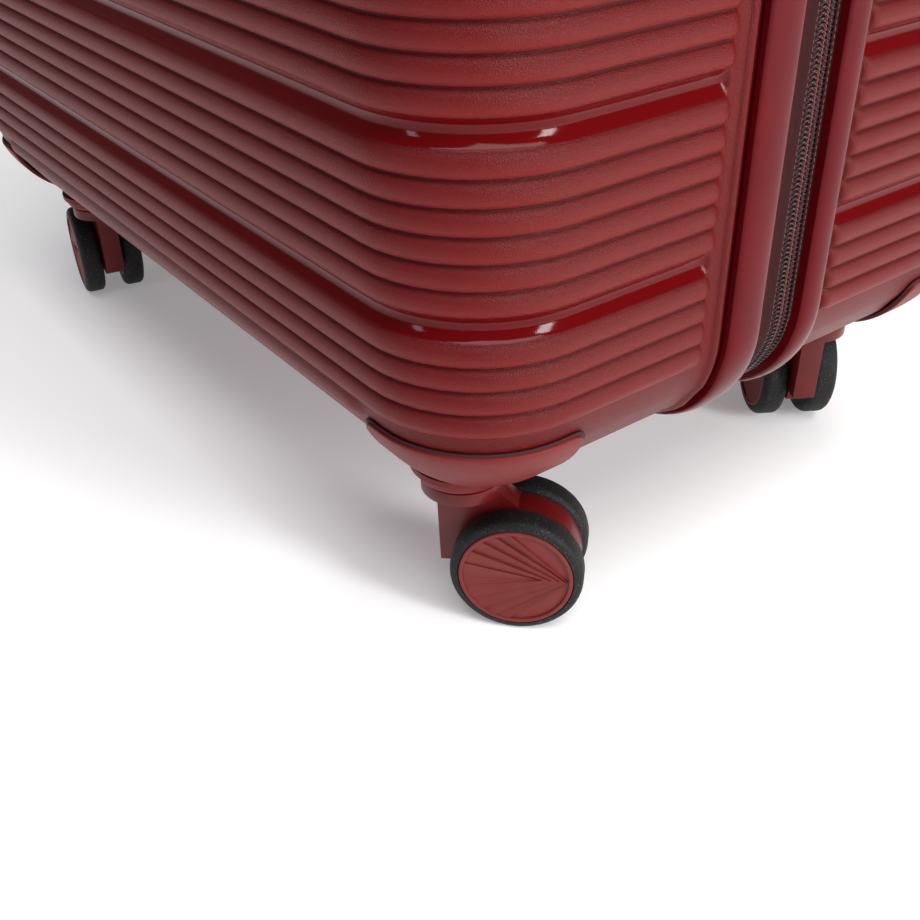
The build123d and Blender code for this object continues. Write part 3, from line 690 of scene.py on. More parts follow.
def repeat_tree(name):
    """Sets copies of one small shape along a line of points, turned to follow it."""
    tree, given, result = new_geometry_tree(name)
    tree_input(tree, "Pitch", "NodeSocketFloat", 0.002)
    tree_input(tree, "Shape", "NodeSocketObject", None)
    tree_input(tree, "Material", "NodeSocketMaterial", None)
    line = add_node(tree, "GeometryNodeMeshToCurve", {"Mesh": given.outputs["Geometry"]})
    spaced = add_node(tree, "GeometryNodeResampleCurve", mode="LENGTH",
                      inputs={"Curve": line.outputs[0], "Length": given.outputs["Pitch"]})
    shape = add_node(tree, "GeometryNodeObjectInfo", {"Object": given.outputs["Shape"]})
    facing = add_node(tree, "FunctionNodeAlignRotationToVector", axis="X", pivot_axis="Y",
                      inputs={"Vector": add_node(tree, "GeometryNodeInputTangent").outputs[0]})
    placed = add_node(tree, "GeometryNodeInstanceOnPoints",
                      {"Points": spaced.outputs[0], "Instance": shape.outputs["Geometry"],
                       "Rotation": facing.outputs[0]})
    solid = add_node(tree, "GeometryNodeRealizeInstances", {"Geometry": placed.outputs[0]})
    finish = add_node(tree, "GeometryNodeSetMaterial",
                      {"Geometry": solid.outputs[0], "Material": given.outputs["Material"]})
    tree.links.new(finish.outputs[0], result.inputs[0])
    return tree


def loop_mesh(name, stations, sides):
    """A small bent bar: stations hold along, across, height and two half sizes."""
    points, faces = [], []
    for along, across, height, half_along, half_height in stations:
        for k in range(sides):
            angle = 2 * pi * (k + 0.5) / sides
            points.append((along + half_along * cos(angle), across, -height - half_height * sin(angle)))
    for i in range(len(stations) - 1):
        for k in range(sides):
            m = (k + 1) % sides
            faces.append((i * sides + k, i * sides + m, (i + 1) * sides + m, (i + 1) * sides + k))
    faces += [tuple(range(sides)), tuple(range((len(stations) - 1) * sides, len(stations) * sides))[::-1]]
    piece = mesh_object(name, points, faces)
    tidy_mesh(piece, 0.000001)
    return piece


def repeat_along(name, y, grow, first, last, pitch, shape, tree, material):
    """Copies of the shape along the outline at one Y."""
    path = outline_path(grow, first, last, straight_step=400.0)
    line = mesh_object(name, [(p[0], y, p[1]) for p in path], [],
                       edges=[(k, k + 1) for k in range(len(path) - 1)])
    run_tree(line, tree, pitch=pitch * MM, shape=shape, material=material)
    line.data.polygons.foreach_set("use_smooth", [True] * len(line.data.polygons))
    return line


coil_pitch = 1.9
repeats = repeat_tree("repeat_along_line")
for name, side in (("front", -1), ("rear", 1)):
    seam, body = bead_y[side], "front_lid" if side < 0 else "rear_case"
    tape = sweep_section(name + "_woven_tape", outline_path(0.0, zip_first, zip_last),
                         [(zip_y + side * tooth_reach, tape_height), (seam, tape_height), (seam, tape_base),
                          (zip_y + side * tooth_reach, tape_base)], tape_cloth)
    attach(tape, body)
    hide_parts(name + "_zip_tape")
    cord_profile = [(0.1, -4.0), (0.1, -2.7), (0.5, -2.2), (1.1, -2.3), (1.5, -2.8), (tooth_reach, -2.8),
                    (tooth_reach, -4.0)]
    cord = sweep_section(name + "_core_cord", outline_path(0.0, zip_first, zip_last),
                         [(zip_y + side * y, height) for y, height in cord_profile], core_thread)
    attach(cord, body)
    stations = [(-0.5, 4.55, -2.6, 0.36, 0.4), (-0.2, 3.9, -1.95, 0.5, 0.5), (0.15, 2.6, -1.6, 0.52, 0.52),
                (0.36, 1.55, -1.7, 0.62, 0.55), (0.42, 0.95, -2.1, 0.5, 0.4)]
    loop = loop_mesh("coil_loop", [(along, side * y, height, wide, tall)
                                   for along, y, height, wide, tall in stations], 6)
    coil = repeat_along(name + "_zip_coil", zip_y, 0.0, zip_first + (1 + side) / 4 * coil_pitch, zip_last,
                        coil_pitch, loop, repeats, coil_nylon)
    bpy.data.objects.remove(loop)
    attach(coil, body)
    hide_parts(name + "_zip_teeth")
    stitch = loop_mesh("stitch", [(0.0, -0.16, -1.98, 0.8, 0.12), (0.0, 0.16, -1.98, 0.8, 0.12)], 8)
    stitches = repeat_along(name + "_tape_stitches", zip_y + side * (tooth_reach + 0.9), 0.0, zip_first,
                            zip_last, 2.4, stitch, repeats, core_thread)
    bpy.data.objects.remove(stitch)
    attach(stitches, body)

# ---- Corner guards ----------------------------------------------------------------------
# A smooth nylon guard wraps each bottom corner and runs under it to the stepped boss that
# holds the caster's kingpin. It is riveted on from inside; a narrow dark sheet round its edge is a painted
# shadow.
guard_top, guard_straight, guard_round, guard_proud = 108.0, 12.0, 6.0, 0.9
pin_radius = 5.0


def guard_patch(name, sign_x, sign_y, proud, grow, material):
    """The guard's face round a bottom corner, with rounded upper ends, `grow` wider all round."""
    low, inner_y = bottom_z + round_radius, face_y - round_radius
    straight = guard_straight + grow
    steps = [straight * share for share in (0, 0.05, 0.14, 0.27, 0.45, 0.7, 1.0)]
    columns = [(inner_x, inner_y - straight + e, 1.0, 0.0, e) for e in steps]
    for step in range(1, 12):
        angle = pi / 2 * step / 12
        columns.append((inner_x, inner_y, cos(angle), sin(angle), straight))
    columns += [(inner_x - straight + e, inner_y, 0.0, 1.0, e) for e in reversed(steps)]
    points, faces, rows = [], [], 16
    for x, y, way_x, way_y, from_end in columns:
        short = max(0.0, guard_round - from_end)
        drop = guard_round - sqrt(guard_round ** 2 - short ** 2)
        top = asin((low - guard_top - grow) / round_radius) + drop / round_radius
        for row in range(rows + 1):
            tilt = -(top + (pi / 2 - top) * row / rows)
            spot = skin_point((x, y, way_x, way_y), (low, tilt), proud)
            points.append((sign_x * spot[0], sign_y * spot[1], spot[2]))
    for i in range(len(columns) - 1):
        for j in range(rows):
            a = i * (rows + 1) + j
            faces.append((a, a + rows + 1, a + rows + 2, a + 1))
    start, count = len(points), len(steps)
    for e in steps:
        for f in steps:
            points.append((sign_x * (inner_x - straight + e), sign_y * (inner_y - straight + f),
                           bottom_z - proud))
    for i in range(count - 1):
        for j in range(count - 1):
            a = start + i * count + j
            faces.append((a, a + 1, a + count + 1, a + count))
    piece = mesh_object(name, points, faces, material)
    tidy_mesh(piece, 0.00001)
    return piece


def lathe(name, profile, centre, axis, material, steps=72, closed=True):
    """Turns a profile of (radius, height along the axis) about an axis through the centre."""
    axis = Vector(axis).normalized()
    first = Vector((0, 0, 1)) if abs(axis.z) < 0.5 else Vector((1, 0, 0))
    first = (first - axis * first.dot(axis)).normalized()
    second = axis.cross(first)
    points, faces, count = [], [], len(profile)
    for step in range(steps):
        angle = 2 * pi * step / steps
        way = first * cos(angle) + second * sin(angle)
        points += [tuple(Vector(centre) + way * radius + axis * height) for radius, height in profile]
    for i in range(steps):
        j = (i + 1) % steps
        for k in range(count if closed else count - 1):
            m = (k + 1) % count
            faces.append((i * count + k, i * count + m, j * count + m, j * count + k))
    piece = mesh_object(name, points, faces, material)
    tidy_mesh(piece, 0.000005)
    piece.data.set_sharp_from_angle(angle=radians(32))
    return piece


def join(pieces):
    """Joins meshes into the first of them."""
    with bpy.context.temp_override(active_object=pieces[0], selected_editable_objects=pieces,
                                   selected_objects=pieces):
        bpy.ops.object.join()
    return pieces[0]


# moulded nylon with a satin tool finish: smooth, slightly cloudy, with fine scuffs
guard_nylon, tree, shader = new_material("satin_red_nylon", "#6E1F20", 0.46, IOR=1.53, Specular_IOR_Level=0.2)
coords = add_node(tree, "ShaderNodeTexCoord").outputs["Object"]
cloud = add_node(tree, "ShaderNodeTexNoise", {"Vector": coords, "Scale": 60.0, "Detail": 4.0})
shade = add_node(tree, "ShaderNodeMix", {0: cloud.outputs["Fac"], 6: linear("#601211"), 7: linear("#701A18")},
                 data_type="RGBA")
tree.links.new(shade.outputs[2], shader.inputs["Base Color"])
scuffs = add_node(tree, "ShaderNodeTexNoise", {"Vector": coords, "Scale": 900.0, "Detail": 3.0})
bump = add_node(tree, "ShaderNodeBump", {"Height": scuffs.outputs["Fac"], "Strength": 0.25,
                                         "Distance": 0.00015})
tree.links.new(bump.outputs[0], shader.inputs["Normal"])
rough = add_node(tree, "ShaderNodeMath", {0: cloud.outputs["Fac"], 1: 0.16, 2: 0.38},
                 operation="MULTIPLY_ADD")
tree.links.new(rough.outputs[0], shader.inputs["Roughness"])

# a painted shadow: the same nylon made dark for the narrow gap round the guard, its tone varied at random
shadow_gap_nylon, tree, shader = new_material("dusty_dark_nylon", "#22080A", 0.8)
coords = add_node(tree, "ShaderNodeTexCoord").outputs["Object"]
dust_and_shade_noise = add_node(tree, "ShaderNodeTexNoise", {"Vector": coords, "Scale": 500.0, "Detail": 4.0})
shade = add_node(tree, "ShaderNodeMix", {0: dust_and_shade_noise.outputs["Fac"], 6: linear("#180506"), 7: linear("#2E0D0F")},
                 data_type="RGBA")
tree.links.new(shade.outputs[2], shader.inputs["Base Color"])

wheel_trail = 24.0
corners = {"front_right": (1, -1), "front_left": (-1, -1), "rear_right": (1, 1), "rear_left": (-1, 1)}
axle_centre, axle_way, trail_way, kingpin = {}, {}, {}, {}
for corner in corners:
    middles = {}
    for which in ("outer", "inner"):
        low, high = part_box("tyre_" + corner + "_" + which)
        middles[which] = (low + high) / 2 / MM
    axle_centre[corner] = (middles["outer"] + middles["inner"]) / 2
    axle_way[corner] = (middles["outer"] - middles["inner"]).normalized()
    trail_way[corner] = Vector((-axle_way[corner].y, axle_way[corner].x, 0))
    kingpin[corner] = axle_centre[corner] - trail_way[corner] * wheel_trail

for corner, (sign_x, sign_y) in corners.items():
    guard = guard_patch(corner + "_corner_guard", sign_x, sign_y, guard_proud, 0.0, guard_nylon)
    thicken(guard, 2.4, bevel=0.55)
    pin = kingpin[corner]
    boss = lathe("boss", [(pin_radius + 0.3, 74.2), (pin_radius + 0.3, 66.2), (15.5, 66.2), (17.2, 66.5),
                          (18.6, 67.5), (19.3, 69.0), (19.6, 70.6), (20.9, 71.0), (21.3, 71.6), (21.3, 74.2)],
                 (pin.x, pin.y, 0), (0, 0, 1), guard_nylon)
    join([guard, boss])
    # a dark sheet 1.1 mm wider than the guard, just off the skin: a painted shadow in the gap round the guard
    shadow_gap_sheet = guard_patch(corner + "_guard_seat", sign_x, sign_y, -0.45, 1.1, shadow_gap_nylon)
    thicken(shadow_gap_sheet, 0.6)
    for piece in (guard, shadow_gap_sheet):
        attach(piece, "front_lid" if sign_y < 0 else "rear_case")
    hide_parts("wheel_housing_" + corner)

# ---- Casters ----------------------------------------------------------------------------
# Each twin-wheel caster swivels on a steel kingpin. Dusty moulded tyres sit on nylon hubs,
# whose outer faces carry a generic fan of facets; the fork is arched over the wheels.

# moulded rubber: dull black with a grey bloom and specks of floor dust
tyre_rubber, tree, shader = new_material("dusty_black_rubber", "#1B1B1B", 0.62, Specular_IOR_Level=0.25)
coords = add_node(tree, "ShaderNodeTexCoord").outputs["Object"]
dust_and_shade_noise = add_node(tree, "ShaderNodeTexNoise", {"Vector": coords, "Scale": 1400.0, "Detail": 3.0})
specks = add_node(tree, "ShaderNodeMapRange", {"Value": dust_and_shade_noise.outputs["Fac"], "From Min": 0.62,
                                               "From Max": 0.72})
bloom = add_node(tree, "ShaderNodeTexNoise", {"Vector": coords, "Scale": 120.0, "Detail": 2.0})
shade = add_node(tree, "ShaderNodeMix", {0: bloom.outputs["Fac"], 6: linear("#0D0D0D"), 7: linear("#1C1B1A")},
                 data_type="RGBA")
dust_and_painted_shade_tone = add_node(tree, "ShaderNodeMix", {0: specks.outputs[0], 6: shade.outputs[2], 7: linear("#5A5856")},
                 data_type="RGBA")
tree.links.new(dust_and_painted_shade_tone.outputs[2], shader.inputs["Base Color"])
bump = add_node(tree, "ShaderNodeBump", {"Height": dust_and_shade_noise.outputs["Fac"], "Strength": 0.3, "Distance": 0.0001})
tree.links.new(bump.outputs[0], shader.inputs["Normal"])

# hub nylon: the guards' red a little lighter, with a cloudy tone
hub_nylon, tree, shader = new_material("matte_red_hub_nylon", "#74302F", 0.5, IOR=1.53,
                                       Specular_IOR_Level=0.25)
coords = add_node(tree, "ShaderNodeTexCoord").outputs["Object"]
cloud = add_node(tree, "ShaderNodeTexNoise", {"Vector": coords, "Scale": 150.0, "Detail": 4.0})
shade = add_node(tree, "ShaderNodeMix", {0: cloud.outputs["Fac"], 6: linear("#641E1B"), 7: linear("#762B27")},
                 data_type="RGBA")
tree.links.new(shade.outputs[2], shader.inputs["Base Color"])
grain = add_node(tree, "ShaderNodeTexNoise", {"Vector": coords, "Scale": 2500.0, "Detail": 2.0})
bump = add_node(tree, "ShaderNodeBump", {"Height": grain.outputs["Fac"], "Strength": 0.25,
                                         "Distance": 0.0001})
tree.links.new(bump.outputs[0], shader.inputs["Normal"])

# fork nylon: the same resin with a higher tool polish, deeper red where it is thick
fork_nylon, tree, shader = new_material("polished_red_fork_nylon", "#6A1416", 0.34, IOR=1.53,
                                        Specular_IOR_Level=0.25)
coords = add_node(tree, "ShaderNodeTexCoord").outputs["Object"]
flow = add_node(tree, "ShaderNodeTexNoise", {"Vector": coords, "Scale": 90.0, "Detail": 2.0})
shade = add_node(tree, "ShaderNodeMix", {0: flow.outputs["Fac"], 6: linear("#4E0A0A"), 7: linear("#641110")},
                 data_type="RGBA")
tree.links.new(shade.outputs[2], shader.inputs["Base Color"])
bump = add_node(tree, "ShaderNodeBump", {"Height": flow.outputs["Fac"], "Strength": 0.15, "Distance": 0.0003})
tree.links.new(bump.outputs[0], shader.inputs["Normal"])

# turned steel: bright, with fine rings left by the lathe
axle_steel, tree, shader = new_material("turned_steel", "#B4B4B2", 0.28, Metallic=1.0)
coords = add_node(tree, "ShaderNodeTexCoord").outputs["Object"]
turned = add_node(tree, "ShaderNodeTexNoise", {"Vector": coords, "Scale": 1800.0})
rough = add_node(tree, "ShaderNodeMath", {0: turned.outputs["Fac"], 1: 0.2, 2: 0.2}, operation="MULTIPLY_ADD")
tree.links.new(rough.outputs[0], shader.inputs["Roughness"])


def softened(node, width, material, dissolve=0.5, sharp=35):
    """The CAD node's shape with its sharp edges rounded over `width` millimetres, in its finish."""
    source = frame["nodes"][node]
    piece = bpy.data.objects.new(node + "_rounded", source.data.copy())
    scene.collection.objects.link(piece)
    piece.data.materials.clear()
    piece.data.materials.append(material)
    work = bmesh.new()
    work.from_mesh(piece.data)
    bmesh.ops.remove_doubles(work, verts=work.verts, dist=0.000002)
    bmesh.ops.dissolve_limit(work, angle_limit=radians(dissolve), verts=work.verts, edges=work.edges)
    for face in work.faces:
        face.smooth = True
        face.material_index = 0
    work.to_mesh(piece.data)
    work.free()
    if piece.data.has_custom_normals:
        with bpy.context.temp_override(object=piece, active_object=piece):
            bpy.ops.mesh.customdata_custom_splitnormals_clear()
    piece.data.set_sharp_from_angle(angle=radians(sharp))
    edge = piece.modifiers.new("edge", "BEVEL")
    edge.width = width * MM
    edge.segments = 2
    edge.limit_method = "ANGLE"
    edge.angle_limit = radians(sharp)
    bake_modifiers(piece)
    piece.data.set_sharp_from_angle(angle=radians(sharp))
    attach(piece, source["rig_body"])
    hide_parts(node)
    return piece


# each ray of the fan: where it starts on the radius, and the way that it turns from it
fan_rays = [(10.6, 0), (10.6, 15), (14.3, 34), (17.6, 52), (20.5, 68), (21.3, 84)]
fan_rim = 21.6
facet_root, facet_low, middle_facet_high, facet_high = 17.7, 18.0, 18.5, 18.85


def fan_relief(name, centre, axle, trail, material):
    """Flat facets that fan from points along one radius of the cap out to its rim."""
    up = axle.cross(trail)
    points, faces = [], []
    for mirror in (1, -1):
        for (start_a, turn_a), (start_b, turn_b) in zip(fan_rays, fan_rays[1:]):
            high_a, high_b = facet_low, middle_facet_high if turn_a == 0 else facet_high
            for step in range(3):
                corners_2d = []
                for share in (step / 3, (step + 1) / 3):
                    turn = radians(turn_a + (turn_b - turn_a) * share)
                    start = start_a + (start_b - start_a) * share
                    height = high_a + (high_b - high_a) * share
                    corners_2d.append((start, 0.0, height))
                    corners_2d.append((-fan_rim * cos(turn), mirror * fan_rim * sin(turn), height))
                a, b, c, d = corners_2d
                base = len(points)
                for along, across, height in (a, b, d, c):
                    spot = centre + trail * along + up * across
                    points.append(tuple(spot + axle * height))
                    points.append(tuple(spot + axle * facet_root))
                for k in range(4):
                    m = (k + 1) % 4
                    faces.append((base + 2 * k, base + 2 * m, base + 2 * m + 1, base + 2 * k + 1))
                faces.append((base, base + 2, base + 4, base + 6))
                faces.append((base + 1, base + 7, base + 5, base + 3))
    piece = mesh_object(name, points, faces, material)
    tidy_mesh(piece, 0.0000005)
    piece.data.set_sharp_from_angle(angle=radians(3))
    return piece


shoulder, shoulder_x, shoulder_low, shoulder_high = 3.2, 24.3, 9.5, 15.4
tyre_profile = [(20.9, 6.3), (shoulder_x, 6.3)]
for turn in (22, 45, 68, 90):
    tyre_profile.append((shoulder_x + shoulder * sin(radians(turn)),
                         shoulder_low - shoulder * cos(radians(turn))))
for turn in (0, 22, 45, 68, 90):
    tyre_profile.append((shoulder_x + shoulder * cos(radians(turn)),
                         shoulder_high + shoulder * sin(radians(turn))))
tyre_profile += [(23.95, 18.75), (23.65, 18.2), (23.6, 17.2), (20.9, 17.0)]
hub_profile = [(0, 17), (3.05, 17), (3.05, 6.3), (8, 6.3), (9, 8), (18, 8), (19, 6.3), (20.95, 6.3),
               (20.95, 17),
               (23.5, 17), (23.5, 18.4), (23.3, 18.8), (22.9, 19), (22.1, 19), (21.75, 18.8), (21.65, 18.4),
               (21.65, 17.9), (0, 17.9)]
# the mudguard's section as distance from the axle and place between the wheels
arch_profile = ((24.6, -5.7), (25.9, -5.2), (26.2, 0), (25.9, 5.2), (24.6, 5.7), (24.4, 0))
arch_start, arch_end, arch_steps = 32, 144, 18
for corner in corners:
    for which, way in (("outer", axle_way[corner]), ("inner", -axle_way[corner])):
        wheel = corner + "_" + which
        tyre = lathe("tread_" + wheel, tyre_profile, axle_centre[corner], way, tyre_rubber, steps=96)
        hub = lathe("cap_" + wheel, hub_profile, axle_centre[corner], way, hub_nylon, steps=96)
        relief = fan_relief("fan_" + wheel, axle_centre[corner], way, trail_way[corner], hub_nylon)
        join([hub, relief])
        for piece, slot_name in ((tyre, "tyre_rubber"), (hub, "hub_plastic")):
            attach(piece, "wheel_" + wheel)
        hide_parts("tyre_" + wheel)
        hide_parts("wheel_hub_" + wheel)
    softened("caster_fork_" + corner, 0.7, fork_nylon)
    softened("caster_axle_" + corner, 0.25, axle_steel)
    arch_points, arch_faces = [], []
    for step in range(arch_steps + 1):
        turn = radians(arch_start + (arch_end - arch_start) * step / arch_steps)
        out = -trail_way[corner] * cos(turn) + Vector((0, 0, 1)) * sin(turn)
        for reach, across in arch_profile:
            arch_points.append(tuple(axle_centre[corner] + out * reach + axle_way[corner] * across))
    for step in range(arch_steps):
        for k in range(6):
            m = (k + 1) % 6
            arch_faces.append((step * 6 + k, step * 6 + m, step * 6 + 6 + m, step * 6 + 6 + k))
    arch_faces += [tuple(range(6)), tuple(range(arch_steps * 6, arch_steps * 6 + 6))[::-1]]
    arch = mesh_object("mudguard_" + corner, arch_points, arch_faces, fork_nylon)
    tidy_mesh(arch)
    arch.data.set_sharp_from_angle(angle=radians(40))
    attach(arch, "swivel_" + corner)

# ---- Carry handles ----------------------------------------------------------------------
# A spring-return bar of glass-filled nylon stands in a moulded bowl at the top and the side.

# glass-filled nylon: near black with a fine matt texture, polished a little where hands rub
handle_nylon, tree, shader = new_material("black_glass_filled_nylon", "#17110F", 0.5, IOR=1.53)
coords = add_node(tree, "ShaderNodeTexCoord").outputs["Object"]
rub_wear_and_painted_light = add_node(tree, "ShaderNodeTexNoise", {"Vector": coords, "Scale": 40.0, "Detail": 3.0})
rough = add_node(tree, "ShaderNodeMath", {0: rub_wear_and_painted_light.outputs["Fac"], 1: 0.25, 2: 0.35},
                 operation="MULTIPLY_ADD")
tree.links.new(rough.outputs[0], shader.inputs["Roughness"])
texture = add_node(tree, "ShaderNodeTexVoronoi", {"Vector": coords, "Scale": 1500.0})
bump = add_node(tree, "ShaderNodeBump", {"Height": texture.outputs["Distance"], "Strength": 0.35,
                                         "Distance": 0.0002})
tree.links.new(bump.outputs[0], shader.inputs["Normal"])

for handle in ("side_handle", "top_handle"):
    softened(handle + "_base", 0.8, guard_nylon)
    softened(handle, 1.2, handle_nylon)

# ---- Side feet --------------------------------------------------------------------------
# Four studs on the hinge side keep the shells off the ground when the case lies down. They are
# moulded rubber, pressed into the shells.
# thermoplastic rubber: matt black, dusted and scuffed by the floor
foot_rubber, tree, shader = new_material("scuffed_black_tpr", "#1A1817", 0.75)
coords = add_node(tree, "ShaderNodeTexCoord").outputs["Object"]
scuffs = add_node(tree, "ShaderNodeTexNoise", {"Vector": coords, "Scale": 600.0, "Detail": 4.0})
shade = add_node(tree, "ShaderNodeMix", {0: scuffs.outputs["Fac"], 6: linear("#100F0E"),
                                         7: linear("#33302E")},
                 data_type="RGBA")
tree.links.new(shade.outputs[2], shader.inputs["Base Color"])
for side in ("front", "rear"):
    softened(side + "_side_feet", 0.9, foot_rubber)

# ---- Lock -------------------------------------------------------------------------------
# A three-dial combination lock with a press button. Its body is screwed into the front shell
# beside the zip.
# acrylonitrile-butadiene-styrene: satin black with a spark-eroded tool finish
lock_abs, tree, shader = new_material("satin_black_abs", "#141213", 0.4, IOR=1.53)
coords = add_node(tree, "ShaderNodeTexCoord").outputs["Object"]
eroded = add_node(tree, "ShaderNodeTexNoise", {"Vector": coords, "Scale": 2200.0, "Detail": 3.0})
bump = add_node(tree, "ShaderNodeBump", {"Height": eroded.outputs["Fac"], "Strength": 0.4,
                                         "Distance": 0.00012})
tree.links.new(bump.outputs[0], shader.inputs["Normal"])
# satin nickel over a zinc casting: grey metal, soft reflections
satin_nickel, tree, shader = new_material("satin_nickel_zinc", "#A9A39B", 0.33, Metallic=1.0)
coords = add_node(tree, "ShaderNodeTexCoord").outputs["Object"]
plating = add_node(tree, "ShaderNodeTexNoise", {"Vector": coords, "Scale": 500.0, "Detail": 3.0})
rough = add_node(tree, "ShaderNodeMath", {0: plating.outputs["Fac"], 1: 0.2, 2: 0.22},
                 operation="MULTIPLY_ADD")
tree.links.new(rough.outputs[0], shader.inputs["Roughness"])
# dials: smooth polyoxymethylene with pad-printed numbers
dial_pom, tree, shader = new_material("smooth_black_pom", "#1C1B1C", 0.3, IOR=1.48)
coords = add_node(tree, "ShaderNodeTexCoord").outputs["Object"]
wear = add_node(tree, "ShaderNodeTexNoise", {"Vector": coords, "Scale": 800.0, "Detail": 2.0})
rough = add_node(tree, "ShaderNodeMath", {0: wear.outputs["Fac"], 1: 0.2, 2: 0.2}, operation="MULTIPLY_ADD")
tree.links.new(rough.outputs[0], shader.inputs["Roughness"])
# pad-printing ink: thin, matt and slightly worn
number_ink, tree, shader = new_material("white_pad_printed_ink", "#D9D6CE", 0.55)
coords = add_node(tree, "ShaderNodeTexCoord").outputs["Object"]
wear = add_node(tree, "ShaderNodeTexNoise", {"Vector": coords, "Scale": 900.0, "Detail": 2.0})
shade = add_node(tree, "ShaderNodeMix", {0: wear.outputs["Fac"], 6: linear("#C9C5BC"), 7: linear("#E6E3DC")},
                 data_type="RGBA")
tree.links.new(shade.outputs[2], shader.inputs["Base Color"])

softened("lock_body", 0.8, lock_abs)
softened("lock_button", 0.5, satin_nickel)
digit_count, digit_size, ink_height = 10, 3.6, 0.06
for number in (1, 2, 3):
    node = "lock_dial_%d" % number
    softened(node, 0.25, dial_pom)
    low, high = (Vector(c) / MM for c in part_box(node))
    middle, dial_reach = (low + high) / 2, (high.x - low.x) / 2
    digits = []
    for digit in range(digit_count):
        text = bpy.data.curves.new("digit", "FONT")
        text.body = str(digit)
        text.size = digit_size * MM
        text.align_x, text.align_y = "CENTER", "CENTER"
        text.extrude = ink_height * MM
        text.resolution_u = 2
        mark = bpy.data.objects.new("digit", text)
        scene.collection.objects.link(mark)
        shape = bpy.data.meshes.new_from_object(mark.evaluated_get(bpy.context.evaluated_depsgraph_get()))
        bpy.data.objects.remove(mark)
        turn = 2 * pi * digit / digit_count
        out = Vector((cos(turn), -sin(turn), 0))
        across = Vector((sin(turn), cos(turn), 0))
        place = Matrix((across, Vector((0, 0, 1)), out)).transposed().to_4x4()
        place.translation = (middle + out * (dial_reach - ink_height / 2)) * MM
        shape.transform(place)
        printed = bpy.data.objects.new("digit", shape)
        scene.collection.objects.link(printed)
        printed.data.materials.clear()
        printed.data.materials.append(number_ink)
        digits.append(printed)
    numbers = join(digits)
    numbers.name = "dial_numbers_%d" % number
    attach(numbers, "dial_%d" % number)

# ---- Zip sliders ------------------------------------------------------------------------
# Two die-cast sliders run round the zip, each with a hinged pull that clips into the lock.
# gunmetal plating: dark mirror-like metal, a little hazy
gunmetal, tree, shader = new_material("gunmetal_plated_zinc", "#4A4543", 0.26, Metallic=1.0)
coords = add_node(tree, "ShaderNodeTexCoord").outputs["Object"]
haze = add_node(tree, "ShaderNodeTexNoise", {"Vector": coords, "Scale": 700.0, "Detail": 3.0})
rough = add_node(tree, "ShaderNodeMath", {0: haze.outputs["Fac"], 1: 0.22, 2: 0.15}, operation="MULTIPLY_ADD")
tree.links.new(rough.outputs[0], shader.inputs["Roughness"])
for which in ("upper", "lower"):
    softened("zip_slider_" + which, 0.35, gunmetal)
    softened("zip_pull_" + which, 0.3, gunmetal)

# ---- Trolley ----------------------------------------------------------------------------
# A telescopic handle: two anodised aluminium outer tubes fixed in the rear shell, two inner
# tubes that slide in them, and a grip with a push button. It comes out through a bezel.
# anodised extrusion: silver with faint drawing lines along its length
anodised, tree, shader = new_material("satin_anodised_aluminium", "#9A9B9D", 0.34, Metallic=1.0)
coords = add_node(tree, "ShaderNodeTexCoord").outputs["Object"]
stretch = add_node(tree, "ShaderNodeMapping", {"Vector": coords, "Scale": (2500.0, 2500.0, 12.0)})
lines = add_node(tree, "ShaderNodeTexNoise", {"Vector": stretch.outputs[0], "Scale": 1.0, "Detail": 2.0})
rough = add_node(tree, "ShaderNodeMath", {0: lines.outputs["Fac"], 1: 0.24, 2: 0.22},
                 operation="MULTIPLY_ADD")
tree.links.new(rough.outputs[0], shader.inputs["Roughness"])
bump = add_node(tree, "ShaderNodeBump", {"Height": lines.outputs["Fac"], "Strength": 0.15,
                                         "Distance": 0.00005})
tree.links.new(bump.outputs[0], shader.inputs["Normal"])
# soft-touch coating over the grip: very matt, dark, faintly warm
soft_touch, tree, shader = new_material("soft_touch_grip_coating", "#1B1615", 0.72, Sheen_Weight=0.2)
coords = add_node(tree, "ShaderNodeTexCoord").outputs["Object"]
pores = add_node(tree, "ShaderNodeTexVoronoi", {"Vector": coords, "Scale": 1200.0})
bump = add_node(tree, "ShaderNodeBump", {"Height": pores.outputs["Distance"], "Strength": 0.25,
                                         "Distance": 0.00015})
tree.links.new(bump.outputs[0], shader.inputs["Normal"])
tubes = softened("outer_tubes", 0.4, anodised)
# their back plates are dished by half so that they stay clear of the grooves moulded behind them
plate_from = (face_y - 11) * MM
for vertex in tubes.data.vertices:
    vertex.co.y = min(vertex.co.y, plate_from + (vertex.co.y - plate_from) * 0.5)
softened("inner_tubes", 0.4, anodised)
softened("trolley_grip", 1.6, soft_touch)
softened("grip_button", 0.6, lock_abs)
softened("handle_bezel", 0.7, guard_nylon)

# ---- Fabric hinge -----------------------------------------------------------------------
# A strip of doubled nylon cloth is sewn to both edge beads down the hinge side.
# coated plain-weave nylon: dark red, slightly shiny, threads 0.5 mm apart
hinge_cloth, tree, shader = new_material("coated_nylon_hinge_cloth", "#4A1013", 0.6, Sheen_Weight=0.3)
coords = add_node(tree, "ShaderNodeTexCoord").outputs["Object"]
spot = add_node(tree, "ShaderNodeSeparateXYZ", {"Vector": coords})
weft = add_node(tree, "ShaderNodeMath", {0: spot.outputs["Y"], 1: 2 * pi / 0.001}, operation="MULTIPLY")
warp = add_node(tree, "ShaderNodeMath", {0: spot.outputs["Z"], 1: 2 * pi / 0.001}, operation="MULTIPLY")
weft_wave = add_node(tree, "ShaderNodeMath", {0: weft.outputs[0]}, operation="SINE")
warp_wave = add_node(tree, "ShaderNodeMath", {0: warp.outputs[0]}, operation="SINE")
weave = add_node(tree, "ShaderNodeMath", {0: weft_wave.outputs[0], 1: warp_wave.outputs[0]},
                 operation="MULTIPLY")
bump = add_node(tree, "ShaderNodeBump", {"Height": weave.outputs[0], "Strength": 0.6, "Distance": 0.0002})
